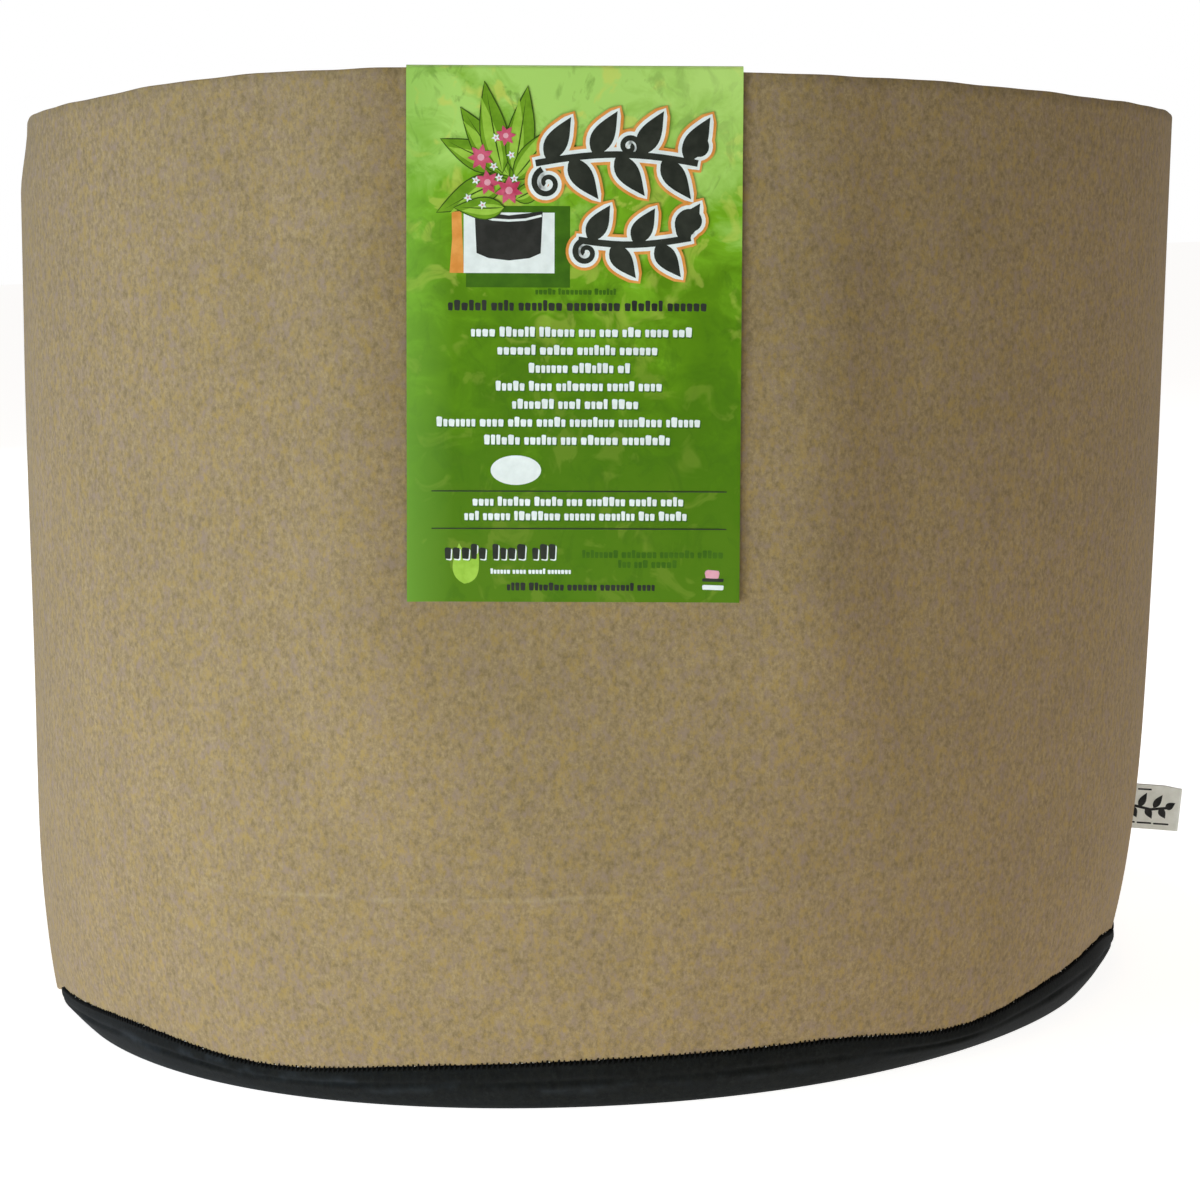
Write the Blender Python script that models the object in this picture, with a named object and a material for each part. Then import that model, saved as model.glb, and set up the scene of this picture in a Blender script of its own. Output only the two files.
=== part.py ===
"""A fabric grow bag: a felt tube sewn to a felt bottom, with a loop label and a folded hang card.

Metres, +Z up. The origin is the centre of the flat underside, and the front, where the card
hangs, faces -Y. The bag stands open, so its wall follows a soft oval that changes with height.
"""

import math

import bpy
from mathutils import Vector

MM = 0.001

# The felt and how it is sewn
FELT = 2.5 * MM
ALLOWANCE = 12.0 * MM  # felt turned inwards past each seam
SEWN_GAP = 0.3 * MM  # between two layers that are sewn together
THREAD_RADIUS = 0.35 * MM
STITCH_INSET = 8.0 * MM  # of the stitch rows from the bag's outside

# The oval of the wall: half width, half depth and squareness (2 is an ellipse)
BASE_HALF_WIDTH, BASE_HALF_DEPTH, BASE_SQUARENESS = 196.2 * MM, 198.9 * MM, 2.03
RIM_HALF_WIDTH, RIM_HALF_DEPTH, RIM_SQUARENESS = 203.5 * MM, 190.1 * MM, 2.29
BASE_TURN, RIM_TURN = math.radians(2.0), math.radians(0.9)
RIM_LEAN = 15.4 * MM  # the rim's centre stands this far to +X of the base's centre
BELLY = 7.8 * MM  # the wall swells by this much just above the bottom seam
BELLY_SHARE = 0.12  # of the wall's height, over which it does so

# The front is straight behind the card, which pinches the felt at the rim
FLAT_HALF_WIDTH, FLAT_FADE = 54.0 * MM, 46.0 * MM
FLAT_SINK = 2.0 * MM  # of the straight part behind the oval's front
FLAT_START, FLAT_FULL = 0.2, 0.48  # shares of the wall's height, where it starts and is complete

# Heights around the bag, as (direction in degrees, height in mm). -90 is the front.
RIM_HEIGHTS = (
    (-175, 308.5), (-165, 313.5), (-150, 318), (-118, 324.6), (-85, 320.8), (-55, 313.7),
    (-30, 306), (0, 302), (45, 305), (90, 311), (135, 314), (165, 311),
)
SEAM_HEIGHTS = (
    (-172, 7.6), (-158, 10.6), (-140, 13.8), (-121, 10.2), (-104, 14.4), (-86, 16.1), (-68, 14.6),
    (-53, 9.5), (-38, 14.6), (-24, 15.2), (-10, 10.8), (20, 12.5), (70, 14.5), (120, 12.5),
    (160, 9),
)

# The bottom panel's turned-up margin
FOOT_INSET = 4.5 * MM  # of the flat underside from the seam's oval
MARGIN_SWELL = 0.6 * MM  # that the margin stands proud of the wall

# The side seam
SIDE_SEAM = math.radians(3.0)
SEAM_HALF_SLIT = 0.7 * MM
TURN_RADIUS = 4.0 * MM  # of the felt where it turns into the side seam
CORNER_TRIM = 0.15  # of the bottom allowance left where it meets the side seam's

# The loop label in the side seam
TAG_LENGTH, TAG_WIDTH, TAG_PLY = 25.4 * MM, 17.0 * MM, 0.35 * MM
TAG_HEIGHT = 45.0 * MM  # of the label's middle
TAG_TAIL = 9.0 * MM  # of it inside the seam
TAG_HALF_LOOP = 0.65 * MM
TAG_CLEAR = 0.5 * MM  # from the pivot to the loop
TAG_TAIL_BACK = 1.5 * MM  # from the pivot to the tail

# The folded hang card
CARD_WIDTH, CARD_FRONT_DROP, CARD_BACK_DROP = 101.6 * MM, 162.0 * MM, 80.0 * MM
CARD_STOCK = 0.4 * MM
CARD_GAP = 0.8 * MM  # from the card to the felt
CARD_TILT = math.radians(2.3)
CARD_TOP = 322.9 * MM  # height of the fold at the card's middle
CARD_X = 8.0 * MM
FOLD_GAP = 0.3 * MM  # from the front flap to the strip over the rim

COLUMNS = 90
CARD_COLUMNS = 12
THREAD_POINTS = 64


# ---------------------------------------------------------------- the bag's shape

def round_the_bag(heights, angle):
    """The height at this direction, on a smooth closed curve through the given ones."""
    degrees = [d for d, _ in heights]
    values = [h * MM for _, h in heights]
    count = len(heights)
    turn = (math.degrees(angle) - degrees[0]) % 360.0 + degrees[0]
    k = max(i for i in range(count) if degrees[i] <= turn + 1e-9)

    def knot(i):
        return degrees[i % count] + 360.0 * (i // count), values[i % count]

    (d0, h0), (d1, h1), (d2, h2), (d3, h3) = (knot(i) for i in range(k - 1, k + 3))
    span = d2 - d1
    slope1 = (h2 - h0) / (d2 - d0) * span
    slope2 = (h3 - h1) / (d3 - d1) * span
    u = (turn - d1) / span
    return (
        h1 * (2 * u**3 - 3 * u**2 + 1) + slope1 * (u**3 - 2 * u**2 + u)
        + h2 * (3 * u**2 - 2 * u**3) + slope2 * (u**3 - u**2)
    )


def ease(value):
    """From 0 to 1, with no corner at either end."""
    value = min(max(value, 0.0), 1.0)
    return value * value * (3.0 - 2.0 * value)


def oval_point(share, angle, inset=0.0):
    """A point of the wall's oval at this share of its height, moved in by inset."""
    belly = BELLY * (1.0 - math.exp(-max(share, 0.0) / BELLY_SHARE))
    half_x = BASE_HALF_WIDTH + (RIM_HALF_WIDTH - BASE_HALF_WIDTH - BELLY) * share + belly - inset
    half_y = BASE_HALF_DEPTH + (RIM_HALF_DEPTH - BASE_HALF_DEPTH - BELLY) * share + belly - inset
    power = BASE_SQUARENESS + (RIM_SQUARENESS - BASE_SQUARENESS) * share
    local = angle - (BASE_TURN + (RIM_TURN - BASE_TURN) * share)
    reach = (abs(math.cos(local) / half_x) ** power + abs(math.sin(local) / half_y) ** power)
    reach = reach ** (-1.0 / power)
    point = Vector((RIM_LEAN * share + reach * math.cos(angle), reach * math.sin(angle)))
    if point.y < 0.0:
        beside = (abs(point.x - CARD_X) - FLAT_HALF_WIDTH) / FLAT_FADE
        straight = ease(1.0 - beside) * ease((share - FLAT_START) / (FLAT_FULL - FLAT_START))
        point.y += straight * (FLAT_SINK - half_y - point.y)
    return point


def wall_point(angle, height, inset=0.0):
    """A point of the wall at this direction and height above the floor."""
    seam = round_the_bag(SEAM_HEIGHTS, angle)
    rim = round_the_bag(RIM_HEIGHTS, angle)
    flat = oval_point((height - seam) / (rim - seam), angle, inset)
    return Vector((flat.x, flat.y, height))


def wall_front(x, height, inset=0.0):
    """The point of the front wall at this x and height."""
    low, high = math.radians(-170.0), math.radians(-10.0)
    for _ in range(40):
        middle = (low + high) / 2
        if wall_point(middle, height, inset).x < x:
            low = middle
        else:
            high = middle
    return wall_point(low, height, inset)


def side_seam_axes(height):
    """The side seam's outer point at this height, and the outward and sideways directions."""
    point = wall_point(SIDE_SEAM, height)
    outward = Vector((math.cos(SIDE_SEAM), math.sin(SIDE_SEAM), 0.0))
    return point, outward, Vector((-outward.y, outward.x, 0.0))


# ---------------------------------------------------------------- making objects

def material(name, colour, roughness):
    made = bpy.data.materials.new(name)
    made.use_nodes = True
    shader = made.node_tree.nodes["Principled BSDF"]
    shader.inputs["Base Color"].default_value = (*colour, 1.0)
    shader.inputs["Roughness"].default_value = roughness
    shader.inputs["Metallic"].default_value = 0.0
    return made


def solid(name, points, faces, finish, origin=Vector((0.0, 0.0, 0.0))):
    """A mesh object whose origin is the given point."""
    mesh = bpy.data.meshes.new(name)
    mesh.from_pydata([tuple(p - origin) for p in points], [], faces)
    mesh.materials.append(finish)
    mesh.shade_smooth()
    mesh.set_sharp_from_angle(angle=math.radians(45.0))
    made = bpy.data.objects.new(name, mesh)
    made.location = origin
    bpy.context.scene.collection.objects.link(made)
    return made


def swept_solid(name, sections, finish, closed=False, origin=Vector((0.0, 0.0, 0.0))):
    """A solid through sections, each the same number of points round one closed outline.

    The outlines run anticlockwise seen from the far end of the sweep.
    """
    size = len(sections[0])
    count = len(sections)
    points = [p for section in sections for p in section]
    faces = []
    for i in range(count if closed else count - 1):
        here, there = i * size, (i + 1) % count * size
        for j in range(size):
            k = (j + 1) % size
            faces.append((here + j, here + k, there + k, there + j))
    if not closed:
        faces.append(tuple(reversed(range(size))))
        faces.append(tuple((count - 1) * size + j for j in range(size)))
    return solid(name, points, faces, finish, origin)


def thread(name, path, finish):
    """A row of thread along the path, as one tube with closed ends."""
    curve = bpy.data.curves.new(name, "CURVE")
    curve.dimensions = "3D"
    curve.bevel_depth = THREAD_RADIUS
    curve.bevel_resolution = 1
    curve.use_fill_caps = True
    curve.materials.append(finish)
    spline = curve.splines.new("POLY")
    spline.points.add(len(path) - 1)
    for point, place in zip(spline.points, path):
        point.co = (*place, 1.0)
    made = bpy.data.objects.new(name, curve)
    bpy.context.scene.collection.objects.link(made)
    return made


# ---------------------------------------------------------------- the felt panels

def wall_profile(seam, rim):
    """The wall felt in section, as (inset, height): down the outside, in under, and back up."""
    body = [0.0, 0.2, 0.4, 0.6, 0.75, 0.85, 0.92]
    low = seam + SEWN_GAP / 2
    turn_top = low + TURN_RADIUS
    outside = [(0.0, rim + (turn_top - rim) * share) for share in body]
    outside += [(0.0, turn_top), (1.2 * MM, low + 1.2 * MM), (TURN_RADIUS, low), (ALLOWANCE, low)]
    inner_radius = TURN_RADIUS - FELT
    corner = inner_radius * (1.0 - math.sqrt(0.5))
    inside = [(FELT, height) for _, height in outside[: len(body) + 1]]
    inside += [
        (FELT + corner, low + FELT + corner),
        (TURN_RADIUS, low + FELT),
        (ALLOWANCE, low + FELT),
    ]
    return outside + inside[::-1]


def make_wall(finish):
    """One felt strip round the bag. Its two ends turn inwards side by side at the side seam."""
    first = (SEAM_HALF_SLIT + TURN_RADIUS) / BASE_HALF_WIDTH
    sections = []

    def end_sections(side):
        """The turned-in end on one side of the slit, from its tip out to the wall."""
        made = []
        seam = round_the_bag(SEAM_HEIGHTS, SIDE_SEAM)
        rim = round_the_bag(RIM_HEIGHTS, SIDE_SEAM)
        profile = wall_profile(seam, rim)
        places = [("flat", ALLOWANCE), ("flat", TURN_RADIUS)] + [("arc", a) for a in (45.0, 80.0)]
        for kind, value in places:
            section = []
            for k, (inset, height) in enumerate(profile):
                point, outward, sideways = side_seam_axes(height)
                skin = 0.0 if k < len(profile) // 2 else FELT
                deeper = max(inset - skin, 0.0) * CORNER_TRIM
                if kind == "flat":
                    back, across = value, SEAM_HALF_SLIT + skin
                else:
                    radius = TURN_RADIUS - skin
                    back = TURN_RADIUS - radius * math.sin(math.radians(value))
                    across = SEAM_HALF_SLIT + TURN_RADIUS - radius * math.cos(math.radians(value))
                section.append(point - outward * (back + deeper) + sideways * (across * side))
            made.append(section)
        return made

    sections += end_sections(1.0)
    for i in range(COLUMNS + 1):
        share = i / COLUMNS
        angle = SIDE_SEAM + first + (2.0 * math.pi - 2.0 * first) * share
        profile = wall_profile(round_the_bag(SEAM_HEIGHTS, angle), round_the_bag(RIM_HEIGHTS, angle))
        sections.append([wall_point(angle, height, inset) for inset, height in profile])
    sections += end_sections(-1.0)[::-1]
    return swept_solid("wall_panel", sections, finish)


def base_profile(seam):
    """The bottom felt's margin in section, as (inset, height) down the outside and back up inside."""
    high = seam - SEWN_GAP / 2
    room = high - 2.0 * FELT
    outside = [
        (ALLOWANCE, high), (3.2 * MM, high), (0.9 * MM, high * 0.9), (-MARGIN_SWELL, high * 0.64),
        (-MARGIN_SWELL * 0.7, high * 0.34), (1.5 * MM, high * 0.1), (FOOT_INSET, 0.0),
    ]
    inside = [
        (ALLOWANCE, FELT + room), (3.9 * MM, FELT + room), (2.9 * MM, FELT + room * 0.86),
        (FELT - MARGIN_SWELL, FELT + room * 0.6), (FELT - MARGIN_SWELL * 0.6, FELT + room * 0.36),
        (FELT + 1.1 * MM, FELT + room * 0.1), (FELT + FOOT_INSET - 0.8 * MM, FELT),
    ]
    return outside, inside


def make_base(finish):
    """The bottom panel: a flat oval whose margin turns up and then in under the wall's."""
    points, faces = [], []
    size = 0
    for i in range(COLUMNS):
        angle = 2.0 * math.pi * i / COLUMNS
        outside, inside = base_profile(round_the_bag(SEAM_HEIGHTS, angle))
        profile = outside[::-1] + inside
        size = len(profile)
        for inset, height in profile:
            flat = oval_point(0.0, angle, inset)
            points.append(Vector((flat.x, flat.y, height)))
    for i in range(COLUMNS):
        here, there = i * size, (i + 1) % COLUMNS * size
        for j in range(size - 1):
            faces.append((here + j, there + j, there + j + 1, here + j + 1))
    faces.append(tuple(i * size for i in reversed(range(COLUMNS))))
    faces.append(tuple(i * size + size - 1 for i in range(COLUMNS)))
    return solid("base_panel", points, faces, finish)


# ---------------------------------------------------------------- the stitching

def make_base_threads(finish):
    """The bottom seam's two rows: on top of the wall's turned edge, and under the bottom's."""
    clear = SEWN_GAP + THREAD_RADIUS
    start = SIDE_SEAM + math.radians(3.5)
    span = 2.0 * math.pi - math.radians(7.0)
    above, below = [], []
    for i in range(THREAD_POINTS + 1):
        angle = start + span * i / THREAD_POINTS
        seam = round_the_bag(SEAM_HEIGHTS, angle)
        flat = oval_point(0.0, angle, STITCH_INSET)
        top = seam + SEWN_GAP / 2 + FELT + clear
        bottom = seam - SEWN_GAP / 2 - FELT - clear
        above.append((flat.x, flat.y, top))
        below.append((flat.x, flat.y, bottom))
    thread("base_seam_needle_thread", above, finish)
    thread("base_seam_bobbin_thread", below, finish)


def make_side_threads(finish):
    """The side seam's two rows, one on each turned-in end of the wall."""
    across = SEAM_HALF_SLIT + FELT + SEWN_GAP + THREAD_RADIUS
    low = round_the_bag(SEAM_HEIGHTS, SIDE_SEAM) + 9.0 * MM
    high = round_the_bag(RIM_HEIGHTS, SIDE_SEAM) - 3.0 * MM
    count = THREAD_POINTS // 2
    for name, side in (("side_seam_needle_thread", 1.0), ("side_seam_bobbin_thread", -1.0)):
        path = []
        for i in range(count + 1):
            point, outward, sideways = side_seam_axes(low + (high - low) * i / count)
            path.append(tuple(point - outward * STITCH_INSET + sideways * (across * side)))
        thread(name, path, finish)


# ---------------------------------------------------------------- the label and the card

def tag_pivot():
    """The label's pivot: the side seam's outside at the label's middle, and its three directions."""
    point, outward, sideways = side_seam_axes(TAG_HEIGHT)
    above = side_seam_axes(TAG_HEIGHT + TAG_WIDTH / 2)[0]
    below = side_seam_axes(TAG_HEIGHT - TAG_WIDTH / 2)[0]
    along = (above - below).normalized()
    outward = (outward - along * outward.dot(along)).normalized()
    return point, outward, sideways, along


def make_tag(finish):
    """The label: a folded ribbon, its loop outside the seam and its two ends trapped inside."""
    pivot, outward, sideways, along = tag_pivot()

    def swept(name, outline, origin):
        ends = [along * (-TAG_WIDTH / 2), along * (TAG_WIDTH / 2)]
        sections = [
            [pivot + outward * a + sideways * b + end for a, b in outline] for end in ends
        ]
        return swept_solid(name, sections, finish, origin=origin)

    half, ply = TAG_HALF_LOOP, TAG_PLY
    bends = [math.radians(a) for a in range(-90, 91, 30)]
    centre = TAG_LENGTH - half
    outer = [(centre + half * math.cos(a), half * math.sin(a)) for a in bends]
    inner = [(centre + (half - ply) * math.cos(a), (half - ply) * math.sin(a)) for a in bends]
    loop = [(TAG_CLEAR, -half)] + outer + [(TAG_CLEAR, half), (TAG_CLEAR, half - ply)]
    loop += inner[::-1] + [(TAG_CLEAR, ply - half)]
    swept("side_tag_loop", loop, pivot)
    near, far = -TAG_TAIL_BACK - TAG_TAIL, -TAG_TAIL_BACK
    tail = [(near, -ply), (far, -ply), (far, ply), (near, ply)]
    swept("side_tag_tail", tail, pivot)


def card_place(across, down, inset):
    """A point of the card: across it, down from its fold, and in from the wall's outside."""
    x = CARD_X + across * math.cos(CARD_TILT) - down * math.sin(CARD_TILT)
    height = CARD_TOP - across * math.sin(CARD_TILT) - down * math.cos(CARD_TILT)
    return wall_front(x, height, inset)


def make_card(finish):
    """One printed card folded over the rim: the front flap, and the fold with the back flap."""
    face, skin = -CARD_GAP - CARD_STOCK, -CARD_GAP
    inside = FELT + CARD_GAP
    inside_face = inside + CARD_STOCK
    fold = skin + FOLD_GAP
    drops = [CARD_FRONT_DROP * k / 6 for k in range(7)]
    front = [(face, d) for d in drops] + [(skin, d) for d in reversed(drops)]
    lower = [CARD_STOCK + (CARD_BACK_DROP - CARD_STOCK) * k / 4 for k in range(5)]
    back = [(inside, d) for d in lower] + [(inside_face, d) for d in reversed(lower)]
    back += [(inside_face, 0.0), (fold, 0.0), (fold, CARD_STOCK)]
    steps = [CARD_WIDTH * (i / CARD_COLUMNS - 0.5) for i in range(CARD_COLUMNS + 1)]
    hinge = card_hinge()
    for name, outline in (("card_front", front), ("card_back", back)):
        sections = [[card_place(s, down, inset) for inset, down in outline] for s in steps]
        swept_solid(name, sections, finish, origin=hinge)


def card_hinge():
    """A point on the line that the front flap swings about, at the top of the fold's ends."""
    middle, left, right = (card_place(side * CARD_WIDTH / 2, 0.0, 0.0) for side in (0, -1, 1))
    return Vector((middle.x, max(left.y, right.y), middle.z))


def main():
    for old in list(bpy.data.objects):
        bpy.data.objects.remove(old, do_unlink=True)
    tan_felt = material("tan_felt", (0.27, 0.21, 0.13), 0.95)
    black_felt = material("black_felt", (0.012, 0.012, 0.011), 0.85)
    black_thread = material("black_thread", (0.01, 0.01, 0.01), 0.6)
    tan_thread = material("tan_thread", (0.24, 0.18, 0.11), 0.7)
    label_ribbon = material("label_ribbon", (0.62, 0.62, 0.57), 0.8)
    printed_card = material("printed_card", (0.14, 0.3, 0.03), 0.45)
    make_wall(tan_felt)
    make_base(black_felt)
    make_base_threads(black_thread)
    make_side_threads(tan_thread)
    make_tag(label_ribbon)
    make_card(printed_card)


main()
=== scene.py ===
"""The looks of a fabric grow bag: its felt panels, stitching, loop label and printed hang card.

Metres, +Z up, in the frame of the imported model. The front, where the card hangs, faces -Y.
"""

import math

import bpy
import numpy as np
from mathutils import Matrix, Vector


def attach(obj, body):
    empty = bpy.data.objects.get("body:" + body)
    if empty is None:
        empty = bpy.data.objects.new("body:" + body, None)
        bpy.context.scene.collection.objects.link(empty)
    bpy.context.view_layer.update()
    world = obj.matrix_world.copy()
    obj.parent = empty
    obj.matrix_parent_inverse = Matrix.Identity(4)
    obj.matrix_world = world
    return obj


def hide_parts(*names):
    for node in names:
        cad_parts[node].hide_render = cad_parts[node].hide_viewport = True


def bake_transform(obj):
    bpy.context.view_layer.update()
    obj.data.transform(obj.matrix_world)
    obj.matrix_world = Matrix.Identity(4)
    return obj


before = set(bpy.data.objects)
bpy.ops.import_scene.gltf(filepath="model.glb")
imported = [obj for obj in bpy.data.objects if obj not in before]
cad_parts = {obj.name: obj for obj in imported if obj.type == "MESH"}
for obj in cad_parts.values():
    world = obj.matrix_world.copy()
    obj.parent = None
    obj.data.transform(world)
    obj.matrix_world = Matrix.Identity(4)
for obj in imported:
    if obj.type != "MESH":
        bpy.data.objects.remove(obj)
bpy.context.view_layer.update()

MM = 0.001
SEED = 7

# ---------------------------------------------------------------- dimensions, as the CAD has them

FELT = 2.5 * MM
ALLOWANCE = 12.0 * MM
SEWN_GAP = 0.3 * MM
THREAD_RADIUS = 0.35 * MM
STITCH_INSET = 8.0 * MM

BASE_HALF_WIDTH, BASE_HALF_DEPTH, BASE_SQUARENESS = 196.2 * MM, 198.9 * MM, 2.03
RIM_HALF_WIDTH, RIM_HALF_DEPTH, RIM_SQUARENESS = 203.5 * MM, 190.1 * MM, 2.29
BASE_TURN, RIM_TURN = math.radians(2.0), math.radians(0.9)
RIM_LEAN = 15.4 * MM
BELLY = 7.8 * MM
BELLY_SHARE = 0.12
FLAT_HALF_WIDTH, FLAT_FADE = 54.0 * MM, 46.0 * MM
FLAT_SINK = 2.0 * MM
FLAT_START, FLAT_FULL = 0.2, 0.48
RIM_HEIGHTS = (
    (-175, 308.5), (-165, 313.5), (-150, 318), (-118, 324.6), (-85, 320.8), (-55, 313.7),
    (-30, 306), (0, 302), (45, 305), (90, 311), (135, 314), (165, 311),
)
SEAM_HEIGHTS = (
    (-172, 7.6), (-158, 10.6), (-140, 13.8), (-121, 10.2), (-104, 14.4), (-86, 16.1), (-68, 14.6),
    (-53, 9.5), (-38, 14.6), (-24, 15.2), (-10, 10.8), (20, 12.5), (70, 14.5), (120, 12.5),
    (160, 9),
)
FOOT_INSET = 4.5 * MM

SIDE_SEAM = math.radians(3.0)
SEAM_HALF_SLIT, SEAM_SHUT = 0.7 * MM, 0.05 * MM
TURN_RADIUS = 4.0 * MM
CORNER_TRIM = 0.15

TAG_LENGTH, TAG_WIDTH, TAG_PLY = 25.4 * MM, 17.0 * MM, 0.35 * MM
TAG_HEIGHT = 45.0 * MM
TAG_TAIL = 9.0 * MM
TAG_HALF_LOOP = 0.65 * MM
TAG_TAIL_BACK = 1.5 * MM
TAG_RISE, TAG_TIP_RISE, TAG_CURL = 1.1 * MM, 0.2 * MM, 0.25 * MM

CARD_WIDTH, CARD_FRONT_DROP, CARD_BACK_DROP = 101.6 * MM, 162.0 * MM, 80.0 * MM
CARD_STOCK = 0.4 * MM
CARD_GAP = 0.8 * MM
CARD_TILT = math.radians(2.3)
CARD_TOP = 322.9 * MM
CARD_X = 8.0 * MM

# ---------------------------------------------------------------- the bag's shape


def ease(value):
    """From 0 to 1, with no corner at either end."""
    value = np.clip(value, 0.0, 1.0)
    return value * value * (3.0 - 2.0 * value)


def bump_at(value, centre, width):
    """A smooth bump of height 1, about this wide."""
    return np.exp(-(((value - centre) / width) ** 2))


def degrees_round(angle):
    """The direction in degrees, from 0 to 360."""
    return np.degrees(angle) % 360.0


def half_turn_wrapped(angle):
    """The same direction, given between half a turn back and half a turn on."""
    return (angle + math.pi) % (2.0 * math.pi) - math.pi


def bump_round(degrees, centre, width):
    """The same bump in a direction round the bag."""
    return bump_at((degrees - centre + 180.0) % 360.0, 180.0, width)


def round_the_bag(heights, angle):
    """The height in each direction, on a smooth closed curve through the given ones."""
    degrees, values = np.array(heights, float).T
    turn = (np.degrees(angle) - degrees[0]) % 360.0 + degrees[0]
    k = np.searchsorted(degrees, turn + 1e-9, side="right") - 1
    deg = np.concatenate([degrees[-1:] - 360.0, degrees, degrees[:2] + 360.0])
    val = np.concatenate([values[-1:], values, values[:2]]) * MM
    d0, d1, d2, d3 = (deg[k + i] for i in range(4))
    h0, h1, h2, h3 = (val[k + i] for i in range(4))
    span = d2 - d1
    u = (turn - d1) / span
    level = h1 * (2 * u**3 - 3 * u**2 + 1) + h2 * (3 * u**2 - 2 * u**3)
    slope_in = (h2 - h0) / (d2 - d0) * span * (u**3 - 2 * u**2 + u)
    return level + slope_in + (h3 - h1) / (d3 - d1) * span * (u**3 - u**2)


def seam_height(angle):
    """The bottom seam's height, with the slight rises of the soft felt at the front."""
    degrees = degrees_round(angle)
    rise = 1.4 * bump_at(degrees, 300.0, 12.0) + 2.2 * bump_at(degrees, 337.0, 9.0)
    return round_the_bag(SEAM_HEIGHTS, angle) + rise * MM


def tucked(angle):
    """Where the wall sags over the bottom's margin and hides it, from 0 to 1."""
    degrees = degrees_round(angle)
    return ease((201.0 - degrees) / 12.0) * ease((degrees - 160.0) / 10.0)


def rim_height(angle):
    return round_the_bag(RIM_HEIGHTS, angle)


def oval_point(share, angle, inset=0.0):
    """x and y of the wall's oval at this share of its height, moved in by inset."""
    belly = BELLY * (1.0 - np.exp(-np.maximum(share, 0.0) / BELLY_SHARE))
    half_x = BASE_HALF_WIDTH + (RIM_HALF_WIDTH - BASE_HALF_WIDTH - BELLY) * share + belly - inset
    half_y = BASE_HALF_DEPTH + (RIM_HALF_DEPTH - BASE_HALF_DEPTH - BELLY) * share + belly - inset
    power = BASE_SQUARENESS + (RIM_SQUARENESS - BASE_SQUARENESS) * share
    local = angle - (BASE_TURN + (RIM_TURN - BASE_TURN) * share)
    reach = np.abs(np.cos(local) / half_x) ** power + np.abs(np.sin(local) / half_y) ** power
    reach = reach ** (-1.0 / power)
    x = RIM_LEAN * share + reach * np.cos(angle)
    y = reach * np.sin(angle)
    beside = (np.abs(x - CARD_X) - FLAT_HALF_WIDTH) / FLAT_FADE
    straight = ease(1.0 - beside) * ease((share - FLAT_START) / (FLAT_FULL - FLAT_START))
    return x, np.where(y < 0.0, y + straight * (FLAT_SINK - half_y - y), y)


def wall_point(angle, height, inset=0.0):
    """Points of the wall at these directions and heights, as an array with a last axis of 3."""
    seam, rim = seam_height(angle), rim_height(angle)
    x, y = oval_point((height - seam) / (rim - seam), angle, inset)
    x, y, z = np.broadcast_arrays(x, y, height)
    return np.stack([x, y, z], axis=-1)


def wall_front(x, height, inset=0.0):
    """The points of the front wall at these x and heights."""
    x, height = np.broadcast_arrays(np.asarray(x, float), np.asarray(height, float))
    low = np.full(x.shape, math.radians(-170.0))
    high = np.full(x.shape, math.radians(-10.0))
    for _ in range(36):
        middle = (low + high) / 2
        left = wall_point(middle, height, inset)[..., 0] < x
        low, high = np.where(left, middle, low), np.where(left, high, middle)
    return wall_point(low, height, inset)


def side_seam_axes(height):
    """The side seam's outer points at these heights, and the outward and sideways directions."""
    point = wall_point(np.full(np.shape(height), SIDE_SEAM), np.asarray(height, float))
    outward = np.array([math.cos(SIDE_SEAM), math.sin(SIDE_SEAM), 0.0])
    return point, outward, np.array([-outward[1], outward[0], 0.0])


def seam_slit(height):
    """Half the gap between the side seam's two ends: sewn shut, but for the label caught in it."""
    open_share = ease((15.0 * MM - np.abs(height - TAG_HEIGHT)) / (5.0 * MM))
    return SEAM_SHUT + (SEAM_HALF_SLIT - SEAM_SHUT) * open_share


# ---------------------------------------------------------------- meshes


def unit(vectors):
    """The vectors at a length of one."""
    return vectors / (np.linalg.norm(vectors, axis=-1, keepdims=True) + 1e-15)


def run_along(path):
    """The distance along a path to each of its points."""
    return np.concatenate([[0.0], np.cumsum(np.linalg.norm(np.diff(path, axis=0), axis=1))])


def stroke(points, width, taper=0.0):
    """A line of this width through the points, as one outline: up its left side and back."""
    points = np.asarray(points, float)
    tangent = unit(np.gradient(points, axis=0))
    normal = np.stack([-tangent[:, 1], tangent[:, 0]], axis=-1)
    share = np.linspace(0.0, 1.0, len(points))
    half = (width / 2 * (1.0 - taper * share))[:, None]
    return np.concatenate([points + normal * half, (points - normal * half)[::-1]])


def mesh_piece(name, points, faces, finish, smooth_angle=50.0, uv=None, numbers=None):
    """A mesh object from points and faces, smooth but for its sharp edges.

    Numbers says which of several finishes each face has.
    """
    mesh = bpy.data.meshes.new(name)
    mesh.from_pydata(np.asarray(points, float).reshape(-1, 3).tolist(), [], faces)
    finishes = finish if isinstance(finish, (list, tuple)) else [finish]
    for each in finishes:
        mesh.materials.append(each)
    if uv is not None:
        layer = mesh.uv_layers.new(name="UVMap")
        loops = np.empty(len(mesh.loops), dtype=np.int32)
        mesh.loops.foreach_get("vertex_index", loops)
        layer.data.foreach_set("uv", np.asarray(uv, float)[loops].ravel())
    if numbers is not None:
        mesh.polygons.foreach_set("material_index", numbers)
    mesh.shade_smooth()
    mesh.set_sharp_from_angle(angle=math.radians(smooth_angle))
    made = bpy.data.objects.new(name, mesh)
    bpy.context.scene.collection.objects.link(made)
    return made


def grid_faces(rows, columns):
    """Quads of a grid of points: rows along the sweep, columns all round the section."""
    faces = []
    for here in range(0, (rows - 1) * columns, columns):
        there = here + columns
        for j in range(columns):
            k = (j + 1) % columns
            faces.append((here + j, here + k, there + k, there + j))
    return faces


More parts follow.
